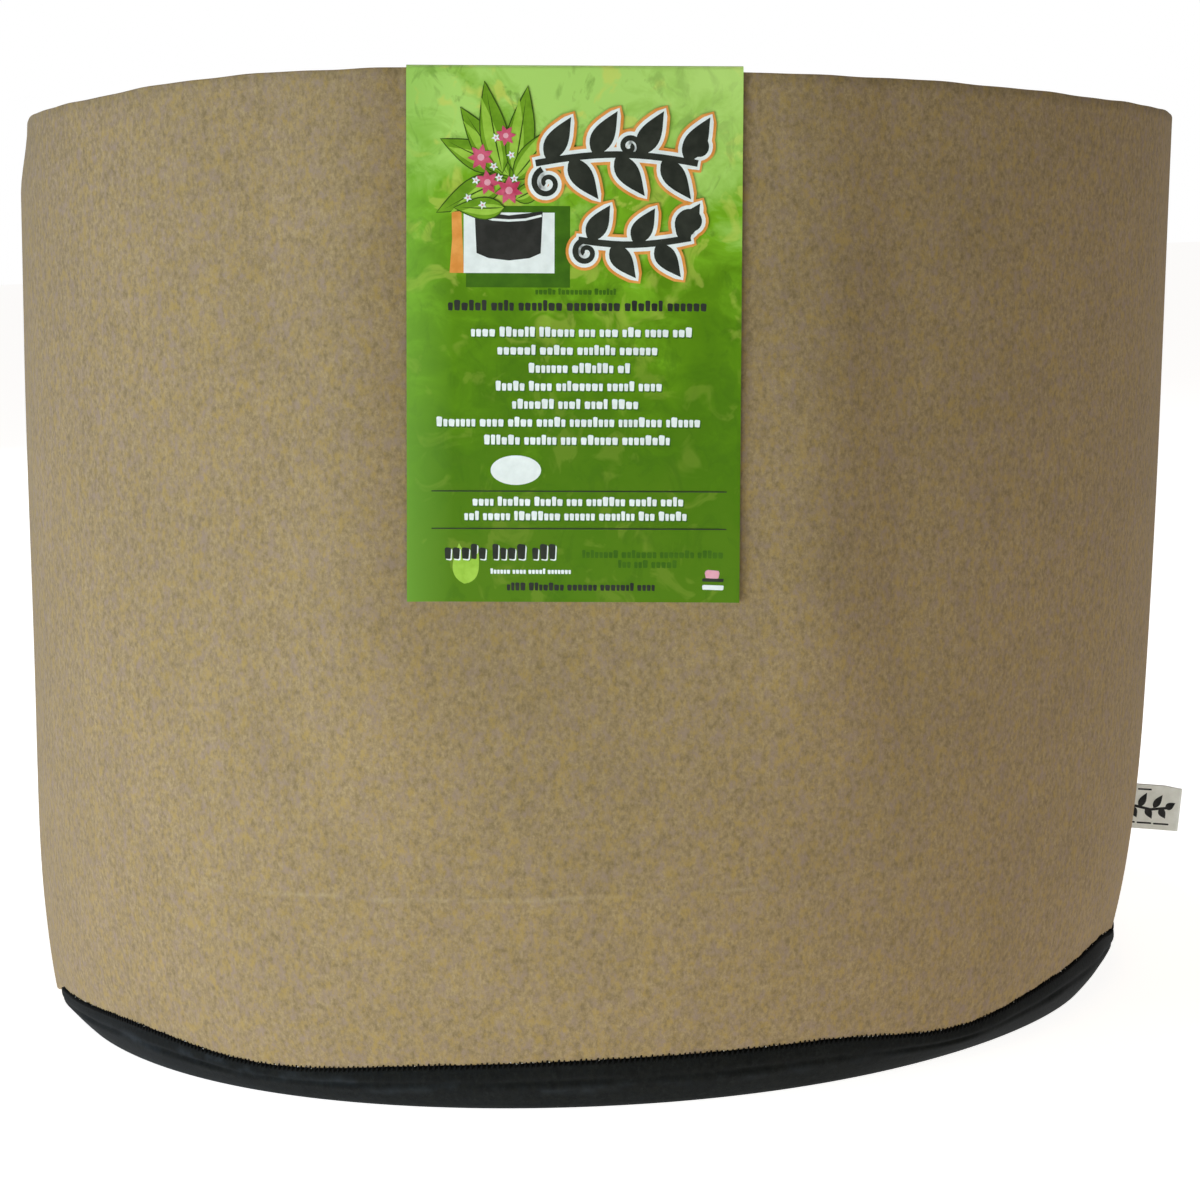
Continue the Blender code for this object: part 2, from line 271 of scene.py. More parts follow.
def folded_ends(rows, size):
    """The faces that close a grid's first and last rows, where each row doubles back on itself."""
    faces = []
    for base, flip in ((0, False), ((rows - 1) * size, True)):
        for j in range(size // 2 - 1):
            quad = (base + j, base + j + 1, base + size - 2 - j, base + size - 1 - j)
            faces.append(quad if flip else quad[::-1])
    return faces


def closed_faces(rows, columns):
    """Quads of a tube of points, with one flat face at each end."""
    faces = grid_faces(rows, columns)
    faces.append(tuple(reversed(range(columns))))
    faces.append(tuple((rows - 1) * columns + j for j in range(columns)))
    return faces


def tube(path, radii, sides=6):
    """Points and faces of a closed tube along the path, with a radius for each of its points."""
    path = np.asarray(path, float)
    radii = np.broadcast_to(np.asarray(radii, float), (len(path),))
    tangent = unit(np.gradient(path, axis=0))
    first = np.cross(tangent[0], (0.0, 0.0, 1.0))
    if np.linalg.norm(first) < 0.1:
        first = np.cross(tangent[0], (1.0, 0.0, 0.0))
    normals = [unit(first)]
    for t in tangent[1:]:
        normals.append(unit(normals[-1] - t * np.dot(normals[-1], t)))
    normals = np.array(normals)
    sideways = np.cross(tangent, normals)
    turn = np.arange(sides) * 2.0 * math.pi / sides
    ring = normals[:, None] * np.cos(turn)[:, None] + sideways[:, None] * np.sin(turn)[:, None]
    points = path[:, None] + ring * radii[:, None, None]
    return points.reshape(-1, 3), closed_faces(len(path), sides)


def joined(parts):
    """One set of points and faces from several."""
    points, faces, start = [], [], 0
    for some, its in parts:
        points.append(some)
        faces += [tuple(start + k for k in face) for face in its]
        start += len(some)
    return np.concatenate(points), faces


# ---------------------------------------------------------------- materials


class Nodes:
    """A short way to write a material's node tree."""

    def __init__(self, name):
        self.material = bpy.data.materials.new(name)
        self.material.use_nodes = True
        self.tree = self.material.node_tree
        self.shader = self.tree.nodes["Principled BSDF"]

    def link(self, source, target):
        self.tree.links.new(source, target)

    def node(self, kind, **settings):
        made = self.tree.nodes.new(kind)
        for key, value in settings.items():
            setattr(made, key, value)
        return made

    def coordinates(self, kind="Object", scale=(1.0, 1.0, 1.0), rotation=(0.0, 0.0, 0.0)):
        source = self.node("ShaderNodeTexCoord").outputs[kind]
        mapping = self.node("ShaderNodeMapping")
        mapping.inputs["Scale"].default_value = scale
        mapping.inputs["Rotation"].default_value = rotation
        self.link(source, mapping.inputs["Vector"])
        return mapping.outputs["Vector"]

    def noise(self, vector, scale, detail=3.0, roughness=0.5, distortion=0.0):
        made = self.node("ShaderNodeTexNoise")
        made.inputs["Scale"].default_value = scale
        made.inputs["Detail"].default_value = detail
        made.inputs["Roughness"].default_value = roughness
        made.inputs["Distortion"].default_value = distortion
        self.link(vector, made.inputs["Vector"])
        return made.outputs["Fac"]

    def math(self, operation, a, b=0.0, clamp=False):
        made = self.node("ShaderNodeMath", operation=operation, use_clamp=clamp)
        for socket, value in zip(made.inputs, (a, b)):
            if isinstance(value, (int, float)):
                socket.default_value = value
            else:
                self.link(value, socket)
        return made.outputs[0]

    def spread(self, value, low, high, to_low=0.0, to_high=1.0):
        """The value's range low..high, stretched onto another range and held there."""
        made = self.node("ShaderNodeMapRange")
        made.inputs["From Min"].default_value = low
        made.inputs["From Max"].default_value = high
        made.inputs["To Min"].default_value = to_low
        made.inputs["To Max"].default_value = to_high
        self.link(value, made.inputs["Value"])
        return made.outputs["Result"]

    def ramp(self, value, *stops):
        made = self.node("ShaderNodeValToRGB")
        elements = made.color_ramp.elements
        while len(elements) < len(stops):
            elements.new(0.5)
        for element, (place, colour) in zip(elements, stops):
            element.position = place
            element.color = (*colour, 1.0)
        self.link(value, made.inputs["Fac"])
        return made.outputs["Color"]

    def mix(self, share, a, b, blend="MIX"):
        made = self.node("ShaderNodeMix", data_type="RGBA", blend_type=blend)
        sockets = (made.inputs[0], made.inputs[6], made.inputs[7])
        for socket, value in zip(sockets, (share, a, b)):
            if isinstance(value, (int, float)):
                socket.default_value = value
            elif isinstance(value, tuple):
                socket.default_value = (*value, 1.0)
            else:
                self.link(value, socket)
        return made.outputs[2]

    def colour(self, source):
        self.link(source, self.shader.inputs["Base Color"])

    def rough(self, source):
        self.link(source, self.shader.inputs["Roughness"])

    def bump(self, height, distance, strength=1.0):
        made = self.node("ShaderNodeBump")
        made.inputs["Strength"].default_value = strength
        made.inputs["Distance"].default_value = distance
        self.link(height, made.inputs["Height"])
        self.link(made.outputs["Normal"], self.shader.inputs["Normal"])

    def fixed(self, **values):
        for key, value in values.items():
            self.shader.inputs[key.replace("_", " ")].default_value = value


def felt_material(name, shades, cool, warm, sheen, sheen_tint, fuzz=0.35, painted_crease_light=None):
    """Needle-punched felt: speckled fibres of several shades, faint upright streaks, a matt nap, and where
    given a painted highlight along a crease.
    """
    n = Nodes(name)
    here = n.coordinates()
    upright = n.coordinates(scale=(1.0, 1.0, 0.78))
    turned = n.coordinates(scale=(1.0, 1.0, 0.72), rotation=(0.35, 0.0, 0.8))
    speckle = n.noise(upright, 620.0, 6.0, 0.72)
    colour = n.ramp(speckle, *zip((0.36, 0.50, 0.64), shades))
    cool_share = n.spread(n.noise(upright, 330.0, 5.0, 0.70), 0.48, 0.66, 0.0, 0.85)
    colour = n.mix(cool_share, colour, cool)
    warm_share = n.spread(n.noise(turned, 370.0, 5.0, 0.70), 0.49, 0.66, 0.0, 0.80)
    colour = n.mix(warm_share, colour, warm)
    long = n.coordinates(scale=(1.0, 1.0, 0.07))
    streak = n.spread(n.noise(long, 240.0, 3.0, 0.6), 0.3, 0.7, 0.97, 1.03)
    cloud = n.spread(n.noise(here, 13.0, 3.0, 0.55), 0.3, 0.7, 0.96, 1.04)
    patch = n.spread(n.noise(here, 70.0, 2.0, 0.5), 0.3, 0.7, 0.97, 1.03)
    shade = n.math("MULTIPLY", n.math("MULTIPLY", streak, cloud), patch)
    grey = n.node("ShaderNodeCombineColor")
    for socket in grey.inputs[:3]:
        n.link(shade, socket)
    colour = n.mix(1.0, colour, grey.outputs[0], "MULTIPLY")
    # painted highlight: a paler colour laid along a crease line, where it would catch the light
    if painted_crease_light:
        colour = n.mix(painted_highlight_strength(n, here, *painted_crease_light[1:]), colour, painted_crease_light[0])
    n.colour(colour)
    n.rough(n.spread(speckle, 0.3, 0.7, 0.88, 1.0))
    fine = n.noise(here, 2300.0, 4.0, 0.7)
    strand = n.noise(n.coordinates(scale=(1.0, 1.0, 0.35), rotation=(0.6, 0.4, 0.9)), 1500.0, 3.0)
    height = n.math("ADD", n.math("MULTIPLY", speckle, 0.6), n.math("MULTIPLY", fine, fuzz))
    n.bump(n.math("ADD", height, n.math("MULTIPLY", strand, fuzz)), 0.00022, 0.7)
    n.fixed(Sheen_Weight=sheen, Sheen_Roughness=0.55, Sheen_Tint=(*sheen_tint, 1.0))
    n.fixed(Specular_IOR_Level=0.12)
    return n.material


def painted_highlight_strength(n, here, height, sway, width, from_x, to_x, left_share, right_share):
    """Painted highlight: how strongly the colour is made pale along a wavering level line on the front, as
    where a crease catches the light, its share running from one side to the other.
    """
    split = n.node("ShaderNodeSeparateXYZ")
    n.link(here, split.inputs[0])
    x, y, z = split.outputs
    wander = n.spread(n.noise(here, 34.0, 3.0, 0.6), 0.3, 0.7, -sway, sway)
    off = n.math("ABSOLUTE", n.math("SUBTRACT", n.math("ADD", z, wander), height))
    near = n.spread(off, 0.0, width, 1.0, 0.0)
    broken = n.spread(n.noise(here, 90.0, 3.0, 0.6), 0.42, 0.62)
    strength = n.math("MULTIPLY", near, n.math("MULTIPLY", broken, n.spread(
        x, from_x, to_x, left_share, right_share)))
    fade = 20.0 * MM
    begin = n.spread(x, from_x - fade, from_x + fade)
    ends = n.math("MULTIPLY", begin, n.spread(x, to_x + fade, to_x - fade))
    return n.math("MULTIPLY", strength, n.math("MULTIPLY", ends, n.spread(y, 0.0, -0.01)))


def thread_material(name, dark, light, sheen=0.2, gloss=0.4):
    """Spun polyester thread: fine slanting strands and a soft gloss."""
    n = Nodes(name)
    twist = n.noise(n.coordinates(scale=(1.0, 1.0, 0.6), rotation=(0.5, 0.3, 0.2)), 5200.0, 2.0)
    n.colour(n.ramp(twist, (0.35, dark), (0.65, light)))
    n.rough(n.spread(twist, 0.3, 0.7, 0.5, 0.75))
    n.bump(twist, 0.00008, 0.7)
    n.fixed(Sheen_Weight=sheen, Sheen_Roughness=0.4, Specular_IOR_Level=gloss)
    return n.material


TAN_FELT = felt_material(
    "tan_felt_looks",
    shades=((0.205, 0.144, 0.071), (0.277, 0.196, 0.099), (0.354, 0.255, 0.133)),
    cool=(0.287, 0.205, 0.152), warm=(0.349, 0.235, 0.077), sheen=0.08, sheen_tint=(0.9, 0.86, 0.78),
    # painted highlight along the crease at this height, stronger on the left, where the lamps are
    painted_crease_light=((0.46, 0.36, 0.22), 0.0690, 0.0008, 0.0011, -0.125, 0.105, 0.42, 0.30),
)
BLACK_FELT = felt_material(
    "black_felt_looks",
    shades=((0.0034, 0.0036, 0.0030), (0.0062, 0.0065, 0.0056), (0.0120, 0.0128, 0.0112)),
    cool=(0.0074, 0.0082, 0.0080), warm=(0.0092, 0.0092, 0.0072), sheen=0.03,
    sheen_tint=(0.80, 0.88, 1.0), fuzz=0.5,
    # painted sheen: a bluish-grey line along the middle of the turned-up band, strongest on the left
    painted_crease_light=((0.026, 0.031, 0.035), 0.0078, 0.0022, 0.0024, -0.17, 0.13, 0.75, 0.15),
)
BLACK_THREAD = thread_material(
    "black_thread_looks", (0.003, 0.003, 0.003), (0.008, 0.008, 0.008), sheen=0.0, gloss=0.05
)
PALE_THREAD = thread_material("pale_thread_looks", (0.48, 0.45, 0.38), (0.74, 0.72, 0.66))
TAN_THREAD = thread_material("tan_thread_looks", (0.17, 0.125, 0.070), (0.31, 0.240, 0.150))

# ---------------------------------------------------------------- the camera

CAMERA_AT = (6.6 * MM, -1116.12 * MM, 293.26 * MM)
CAMERA_YAW, CAMERA_PITCH, CAMERA_ROLL = 0.0034, 0.1427, -0.0359
CAMERA_LENS = 90.98


def make_camera():
    """A camera a little above the rim, looking slightly down on the front."""
    data = bpy.data.cameras.new("camera")
    data.sensor_width = 36.0
    data.lens = CAMERA_LENS
    data.clip_start, data.clip_end = 0.02, 60.0
    forward = Vector((
        math.sin(CAMERA_YAW) * math.cos(CAMERA_PITCH),
        math.cos(CAMERA_YAW) * math.cos(CAMERA_PITCH),
        -math.sin(CAMERA_PITCH),
    ))
    level = forward.cross(Vector((0.0, 0.0, 1.0))).normalized()
    upright = level.cross(forward)
    right = level * math.cos(CAMERA_ROLL) + upright * math.sin(CAMERA_ROLL)
    up = upright * math.cos(CAMERA_ROLL) - level * math.sin(CAMERA_ROLL)
    made = bpy.data.objects.new("camera", data)
    made.matrix_world = Matrix((
        (right.x, up.x, -forward.x, CAMERA_AT[0]),
        (right.y, up.y, -forward.y, CAMERA_AT[1]),
        (right.z, up.z, -forward.z, CAMERA_AT[2]),
        (0.0, 0.0, 0.0, 1.0),
    ))
    bpy.context.scene.collection.objects.link(made)
    bpy.context.scene.camera = made


make_camera()

# ---------------------------------------------------------------- the wall's felt

WALL_COLUMNS = 420
WALL_ROWS = 112
WALL_EDGE = 1.0 * MM  # radius of the felt's bottom edge, where it turns in
RIM_ROUND = 0.5 * MM
CREASE_HEIGHT = 68.0 * MM
SAG, SAG_REACH = 6.6 * MM, 30.0 * MM


def undulation(angle, share):
    """How far the soft wall stands out of its smooth oval."""
    free = ease((share - 0.02) / 0.25)
    beside_card = 1.0 - ease(1.25 - np.abs(degrees_round(angle) - 272.0) / 22.0) * ease(
        (share - 0.3) / 0.2
    )
    slow = (
        0.55 * np.sin(3.0 * angle + 0.7 + 1.6 * share) + 0.42 * np.sin(5.0 * angle + 2.1 - 2.2 * share)
        + 0.26 * np.sin(9.0 * angle + 4.0 + 3.1 * share) + 0.14 * np.sin(17.0 * angle + 1.0 - 5.0 * share)
    )
    return slow * MM * free * beside_card


def handling_marks(angle, height, share):
    """The faint creases that folding the bag flat has left in it."""
    degrees = degrees_round(angle)
    line = CREASE_HEIGHT + 1.4 * MM * np.sin(7.0 * angle + 0.5) + 0.5 * MM * np.sin(23.0 * angle)
    there = ease((degrees - 232.0) / 10.0) * ease((300.0 - degrees) / 12.0)
    ridge = 0.30 * MM * bump_at(height, line, 1.3 * MM) * there
    upright = 0.9 * MM * bump_at(degrees, 247.0 + 3.0 * share, 3.2) * ease((share - 0.25) / 0.4)
    return ridge + upright * 0.7


def seam_puckers(angle, above):
    """The little swellings between stitches just above the bottom seam."""
    near = np.exp(-np.maximum(above, 0.0) / (5.0 * MM))
    wave = np.sin(131.0 * angle + 2.0 * np.sin(9.0 * angle)) + 0.6 * np.sin(71.0 * angle + 1.3)
    return 0.16 * MM * wave * near


def slump(angle, share):
    """Where the soft wall bellies out below its upper corners, and draws in at the left rim."""
    degrees = degrees_round(angle)
    left = 2.2 * bump_at(degrees, 182.0, 30.0) * ease((share - 0.30) / 0.45)
    notch = -4.2 * bump_at(degrees, 184.0, 16.0) * ease((share - 0.925) / 0.075)
    beside = np.minimum(degrees, 360.0 - degrees)
    right = 0.8 * bump_at(beside, 0.0, 24.0) * ease((share - 0.25) / 0.4)
    return MM * (left + notch + right)


def wall_out(angle, height, share):
    """The wall's small departures from the oval, outwards."""
    above = height - seam_height(angle)
    marks = handling_marks(angle, height, share) + seam_puckers(angle, above)
    return undulation(angle, share) + slump(angle, share) + marks


def wall_outline(seam, rim):
    """The felt in section, as (inset, height, share): down the outside, in, and back up inside."""
    low = seam + SEWN_GAP / 2
    span = rim - seam
    rows = [(RIM_ROUND, rim, 1.0), (RIM_ROUND * 0.3, rim - RIM_ROUND * 0.3, 1.0)]
    for i in range(WALL_ROWS + 1):
        part = i / WALL_ROWS
        down = part + 0.35 * part * (1.0 - part)
        height = rim - RIM_ROUND + (low + WALL_EDGE - rim + RIM_ROUND) * down
        rows.append((0.0, height, (height - seam) / span))
    for turn in (30.0, 60.0, 90.0):
        a = math.radians(turn)
        rows.append((WALL_EDGE * (1 - math.cos(a)), low + WALL_EDGE * (1 - math.sin(a)), 0.0))
    rows += [(2.3 * MM, low, 0.0), (2.5 * MM, low, 0.0)]
    rows += [(5.0 * MM, low, 0.0), (ALLOWANCE, low, 0.0), (ALLOWANCE, low + FELT, 0.0)]
    rows += [(7.0 * MM, low + FELT, 0.0), (FELT + 1.5 * MM, low + FELT + 0.3 * MM, 0.0)]
    rows.append((FELT + 0.4 * MM, low + FELT + 1.5 * MM, 0.0))
    inner_low = low + FELT + 3.5 * MM
    for i in range(37):
        height = inner_low + (rim - RIM_ROUND - inner_low) * i / 36
        rows.append((FELT, height, (height - seam) / span))
    rows.append((FELT - RIM_ROUND * 0.3, rim - RIM_ROUND * 0.3, 1.0))
    rows.append((FELT - RIM_ROUND, rim, 1.0))
    return rows


def rim_wave(angle):
    """The raw-cut rim's small rise and fall, and the soft notch beside its left corner."""
    degrees = degrees_round(angle)
    wave = 0.22 * np.sin(11.0 * angle + 1.0) + 0.14 * np.sin(29.0 * angle) + 0.07 * np.sin(61.0 * angle)
    away = 1.0 - ease(1.3 - np.abs(degrees - 272.0) / 18.0)
    return MM * (wave * away - 0.9 * bump_at(degrees, 186.0, 3.0))


def make_wall_felt():
    """One strip of felt round the bag, with its ends turned in side by side at the side seam."""
    first = (SEAM_HALF_SLIT + TURN_RADIUS) / BASE_HALF_WIDTH
    share = np.arange(WALL_COLUMNS + 1) / WALL_COLUMNS
    angles = SIDE_SEAM + first + (2.0 * math.pi - 2.0 * first) * share
    wrapped = half_turn_wrapped(angles)
    seams = seam_height(wrapped)
    rims = rim_height(wrapped) + rim_wave(wrapped)
    outlines = [wall_outline(s, r) for s, r in zip(seams, rims)]
    rows = len(outlines[0])
    table = np.array(outlines)  # column, row, (inset, height, share)
    angle_grid = np.repeat(wrapped[:, None], rows, axis=1)
    fade = ease(share * 40.0)[:, None] * ease((1.0 - share) * 40.0)[:, None]
    out = wall_out(angle_grid, table[..., 1], table[..., 2]) * fade
    out = np.where(table[..., 0] > FELT + 0.1 * MM, 0.0, out)
    body = wall_point(angle_grid, table[..., 1], table[..., 0] - out)
    above = (table[..., 1] - seams[:, None]) / SAG_REACH
    outside = (np.arange(rows) < WALL_ROWS + 7)[None, :]
    body[..., 2] -= np.where(outside, SAG * tucked(wrapped)[:, None] * ease(1.0 - above), 0.0)

    outline = np.array(wall_outline(seam_height(SIDE_SEAM), rim_height(SIDE_SEAM)))
    inset, heights = outline[:, 0], outline[:, 1]
    point, outward, sideways = side_seam_axes(heights)
    skin = np.where(np.arange(rows) < WALL_ROWS + 6, 0.0, FELT)
    deeper = np.maximum(inset - skin, 0.0) * CORNER_TRIM
    radius = TURN_RADIUS - skin
    steps = [(np.full(rows, back), skin) for back in (ALLOWANCE, 8.0 * MM, TURN_RADIUS)]
    for turn in np.radians([15.0, 30.0, 45.0, 60.0, 75.0]):
        steps.append((TURN_RADIUS - radius * math.sin(turn), TURN_RADIUS - radius * math.cos(turn)))
    first_end, last_end = (
        np.array([
            point - outward * (back + deeper)[:, None] + sideways * side * (seam_slit(heights) + off)[:, None]
            for back, off in steps
        ])
        for side in (1.0, -1.0)
    )
    sections = np.concatenate([first_end, body, last_end[::-1]])
    return mesh_piece("wall_felt", sections, closed_faces(len(sections), rows), TAN_FELT, 60.0)


wall_felt = make_wall_felt()
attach(wall_felt, "bag")
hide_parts("wall_panel")

# ---------------------------------------------------------------- the bottom's felt

BASE_COLUMNS = 360


def band_bulge(angle):
    """How far the bottom's turned-up margin swells past the wall, in each direction."""
    degrees = degrees_round(angle)
    right = 0.5 * bump_round(degrees, 345.0, 22.0) + 0.5 * bump_round(degrees, 10.0, 25.0)
    wave = 0.22 * np.sin(13.0 * angle + 0.4) + 0.18 * np.sin(29.0 * angle + 1.9)
    return MM * (0.75 + right + wave)


def foot_inset(angle):
    """How far the flat underside stays back from the seam's oval."""
    degrees = degrees_round(angle)
    left = 3.4 * bump_at(degrees, 188.0, 13.0) - 1.2 * bump_at(degrees, 235.0, 20.0)
    right = 7.5 * bump_round(degrees, 354.0, 13.0) + 1.0 * bump_round(degrees, 310.0, 20.0)
    return FOOT_INSET + MM * (left + right)


def bottom_outline(angle):
    """The bottom felt in section, from the middle of its underside out, up, in and back."""
    seam = seam_height(angle)
    high = seam - SEWN_GAP / 2
    bulge, foot = band_bulge(angle), foot_inset(angle)
    crease = 0.45 * MM * (1.0 + 0.5 * np.sin(19.0 * angle + 1.0) + 0.35 * np.sin(47.0 * angle))
    zero = np.zeros_like(angle)
    tuck = tucked(angle)
    tuck_in = 2.7 * MM * tuck
    rows = [(zero + 170.0 * MM, zero), (zero + 100.0 * MM, zero), (zero + 50.0 * MM, zero)]
    rows += [(zero + 25.0 * MM, zero), (zero + 12.0 * MM, zero), (foot + 1.5 * MM, zero), (foot, zero)]
    for u in np.linspace(0.06, 0.94, 23):
        swell = np.sin(math.pi * min(u * 1.02, 1.0)) ** 0.8
        inward = foot * (1.0 - u) ** 2.4 - bulge * swell * (1.0 - tuck) + tuck_in * ease(u * 4.0)
        inward = inward + crease * bump_at(u, 0.60, 0.055) - 0.35 * crease * bump_at(u, 0.45, 0.08)
        rows.append((inward, high * u**0.92))
    rows += [(tuck_in + 0.25 * MM, high * 0.985), (tuck_in + 1.2 * MM, high), (zero + 5.0 * MM, high)]
    rows.append((zero + ALLOWANCE, high))
    under = high - FELT
    rows += [(zero + ALLOWANCE, under), (zero + 5.0 * MM, under), (zero + 3.4 * MM, under - 0.4 * MM)]
    room = under - FELT
    for u in (0.75, 0.5, 0.25):
        rows.append((FELT - 0.3 * MM + foot * (1.0 - u) ** 2.4, FELT + room * u))
    rows.append((FELT + foot, zero + FELT))
    for inset in (12.0, 25.0, 50.0, 80.0, 110.0, 140.0, 170.0):
        lift = 0.6 * MM * np.sin(3.0 * angle + inset * 0.04) * math.sin(inset * 0.031) ** 2
        rows.append((zero + inset * MM, zero + FELT + np.abs(lift)))
    return rows


def make_bottom_felt():
    """The black bottom: a flat oval whose margin turns up and then in under the wall's."""
    angles = np.arange(BASE_COLUMNS) * 2.0 * math.pi / BASE_COLUMNS
    wrapped = half_turn_wrapped(angles)
    rows = bottom_outline(wrapped)
    sections = []
    for inset, height in rows:
        x, y = oval_point(np.zeros_like(wrapped), wrapped, inset)
        sections.append(np.stack([x, y, np.broadcast_to(height, x.shape)], axis=-1))
    sections = np.array(sections)
    count = len(sections)
    faces = grid_faces(count, BASE_COLUMNS)
    points = np.concatenate([sections.reshape(-1, 3), [[0.0, 0.0, 0.0], [0.0, 0.0, FELT]]])
    middle, last = count * BASE_COLUMNS, (count - 1) * BASE_COLUMNS
    for j in range(BASE_COLUMNS):
        k = (j + 1) % BASE_COLUMNS
        faces.append((k, j, middle))
        faces.append((last + j, last + k, middle + 1))
    return mesh_piece("bottom_felt", points, faces, BLACK_FELT, 70.0)


bottom_felt = make_bottom_felt()
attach(bottom_felt, "bag")
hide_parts("base_panel")

# ---------------------------------------------------------------- the stitching

TOOTH_PITCH = 1.72 * MM
STITCH_LENGTH = 3.44 * MM
DIP = 1.008 * MM


def evenly_round(start, end, step):
    """Directions from start to end, a step apart along the bottom seam's oval."""
    fine = np.linspace(start, end, 4000)
    run = run_along(np.stack(oval_point(np.zeros(len(fine)), fine), axis=-1))
    count = int(run[-1] / step)
    return np.interp((np.arange(count) + 0.5) * run[-1] / count, run, fine)


def make_edge_stitches():
    """The black loops that bite over the tan felt's edge all round the bottom seam."""
    rng = np.random.default_rng(SEED)
    angles = evenly_round(SIDE_SEAM + 0.02, SIDE_SEAM + 2.0 * math.pi - 0.02, TOOTH_PITCH)
    wrapped = half_turn_wrapped(angles)
    seam = seam_height(wrapped)
    foot = wall_point(wrapped, seam)
    tangent = unit(wall_point(wrapped + 1e-4, seam) - foot)
    foot[:, 2] -= SAG * tucked(wrapped)
    out = unit(np.stack([tangent[:, 1], -tangent[:, 0], np.zeros(len(tangent))], axis=-1))
    parts = []
    for k in np.flatnonzero(tucked(wrapped) < 0.02):
        tall, slant = rng.uniform(0.60, 1.15), rng.uniform(-0.25, 0.25)
        local = (
            (-0.30, -0.55, -1.00), (-0.26, 0.12, -0.75), (-0.10, 0.30, -0.10),
            (0.04 + slant * 0.5, 0.28, 0.45 * tall), (0.10 + slant, 0.10, 0.95 * tall),
            (0.12 + slant, -0.40, 1.10 * tall),
        )
        path = [
            foot[k] + tangent[k] * t * MM + out[k] * o * MM + np.array([0.0, 0.0, u * MM])
            for t, o, u in local
        ]
        parts.append(tube(path, np.array([0.38, 0.42, 0.42, 0.34, 0.24, 0.14]) * MM, 5))
    points, faces = joined(parts)
    return mesh_piece("edge_stitches", points, faces, BLACK_THREAD, 80.0)


def make_thread_glints():
    """Short glimpses of the pale lower thread between the black loops."""
    rng = np.random.default_rng(SEED + 1)
    angles = evenly_round(SIDE_SEAM + 0.03, SIDE_SEAM + 2.0 * math.pi - 0.03, TOOTH_PITCH) + 0.0044
    parts = []
    for angle in half_turn_wrapped(angles):
        if rng.random() > 0.16 or tucked(angle) > 0.0:
            continue
        height = seam_height(angle) + rng.uniform(0.2, 0.9) * MM
        size = rng.uniform(0.10, 0.24) * MM
        here = wall_point(angle, height, -0.12 * MM)
        further = angle + rng.uniform(0.0010, 0.0026)
        there = wall_point(further, height + rng.uniform(-0.2, 0.3) * MM, -0.1 * MM)
        parts.append(tube([here, (here + there) / 2, there], [size * 0.5, size, size * 0.5], 5))
    points, faces = joined(parts)
    return mesh_piece("thread_glints", points, faces, PALE_THREAD, 80.0)


def stitched_row(name, path, dip, finish):
    """A row of lockstitches: the thread rises over the felt and dips into it at each hole."""
    run = run_along(path)
    stitches = int(run[-1] / STITCH_LENGTH)
    phase = np.arange(stitches * 6 + 1) / 6.0
    at = phase / stitches * run[-1]
    centre = np.stack([np.interp(at, run, path[:, k]) for k in range(3)], axis=-1)
    depth = DIP * np.abs(np.cos(math.pi * phase)) ** 6
    points, faces = tube(centre + dip * depth[:, None], THREAD_RADIUS)
    return mesh_piece(name, points, faces, finish, 80.0)


def make_base_rows():
    """The bottom seam's two rows: on the wall's turned edge, and under the bottom's."""
    start = SIDE_SEAM + math.radians(3.5)
    angles = start + (2.0 * math.pi - math.radians(7.0)) * np.arange(901) / 900
    wrapped = half_turn_wrapped(angles)
    seam = seam_height(wrapped)
    x, y = oval_point(np.zeros_like(wrapped), wrapped, STITCH_INSET)
    clear = THREAD_RADIUS * 0.7
    made = []
    for name, sign in (("base_needle_stitches", 1.0), ("base_bobbin_stitches", -1.0)):
        path = np.stack([x, y, seam + sign * (SEWN_GAP / 2 + FELT + clear)], axis=-1)
        made.append(stitched_row(name, path, np.array([0.0, 0.0, -sign]), BLACK_THREAD))
    return made


def make_side_rows():
    """The side seam's two rows, one on each turned-in end of the wall."""
    low, high = seam_height(SIDE_SEAM) + 9.0 * MM, rim_height(SIDE_SEAM) - 3.0 * MM
    heights = np.linspace(low, high, 200)
    point, outward, sideways = side_seam_axes(heights)
    across = (seam_slit(heights) + FELT + THREAD_RADIUS * 0.7)[:, None]
    made = []
    for name, side in (("side_needle_stitches", 1.0), ("side_bobbin_stitches", -1.0)):
        path = point - outward * STITCH_INSET + sideways * (across * side)
        made.append(stitched_row(name, path, -sideways * side, TAN_THREAD))
    return made


edge_stitches = make_edge_stitches()
thread_glints = make_thread_glints()
base_rows = make_base_rows()
side_rows = make_side_rows()
for piece in (edge_stitches, thread_glints, *base_rows):
    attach(piece, "bag")
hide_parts("base_seam_needle_thread")
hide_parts("base_seam_bobbin_thread")
for piece, node in zip(side_rows, ("side_seam_needle_thread", "side_seam_bobbin_thread")):
    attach(piece, "bag")
    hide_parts(node)

# ---------------------------------------------------------------- the loop label


def label_material():
    """Woven satin ribbon: fine ribs, a few shades of off-white."""
    n = Nodes("label_ribbon_looks")
    uv = n.coordinates("UV")
    ribs = []
    for direction, scale in (("X", 900.0), ("Y", 1100.0)):
        wave = n.node("ShaderNodeTexWave", wave_type="BANDS", bands_direction=direction)
        wave.inputs["Scale"].default_value = scale
        wave.inputs["Distortion"].default_value = 0.6
        n.link(uv, wave.inputs["Vector"])
        ribs.append(wave.outputs["Fac"])
    tone = n.noise(uv, 260.0, 3.0, 0.6)
    n.colour(n.ramp(tone, (0.30, (0.80, 0.81, 0.73)), (0.70, (0.92, 0.93, 0.86))))
    weave = n.math("MULTIPLY", *ribs)
    n.rough(n.spread(weave, 0.0, 1.0, 0.75, 0.55))
    n.bump(weave, 0.00006, 0.6)
    n.fixed(Sheen_Weight=0.25, Sheen_Roughness=0.4)
    return n.material


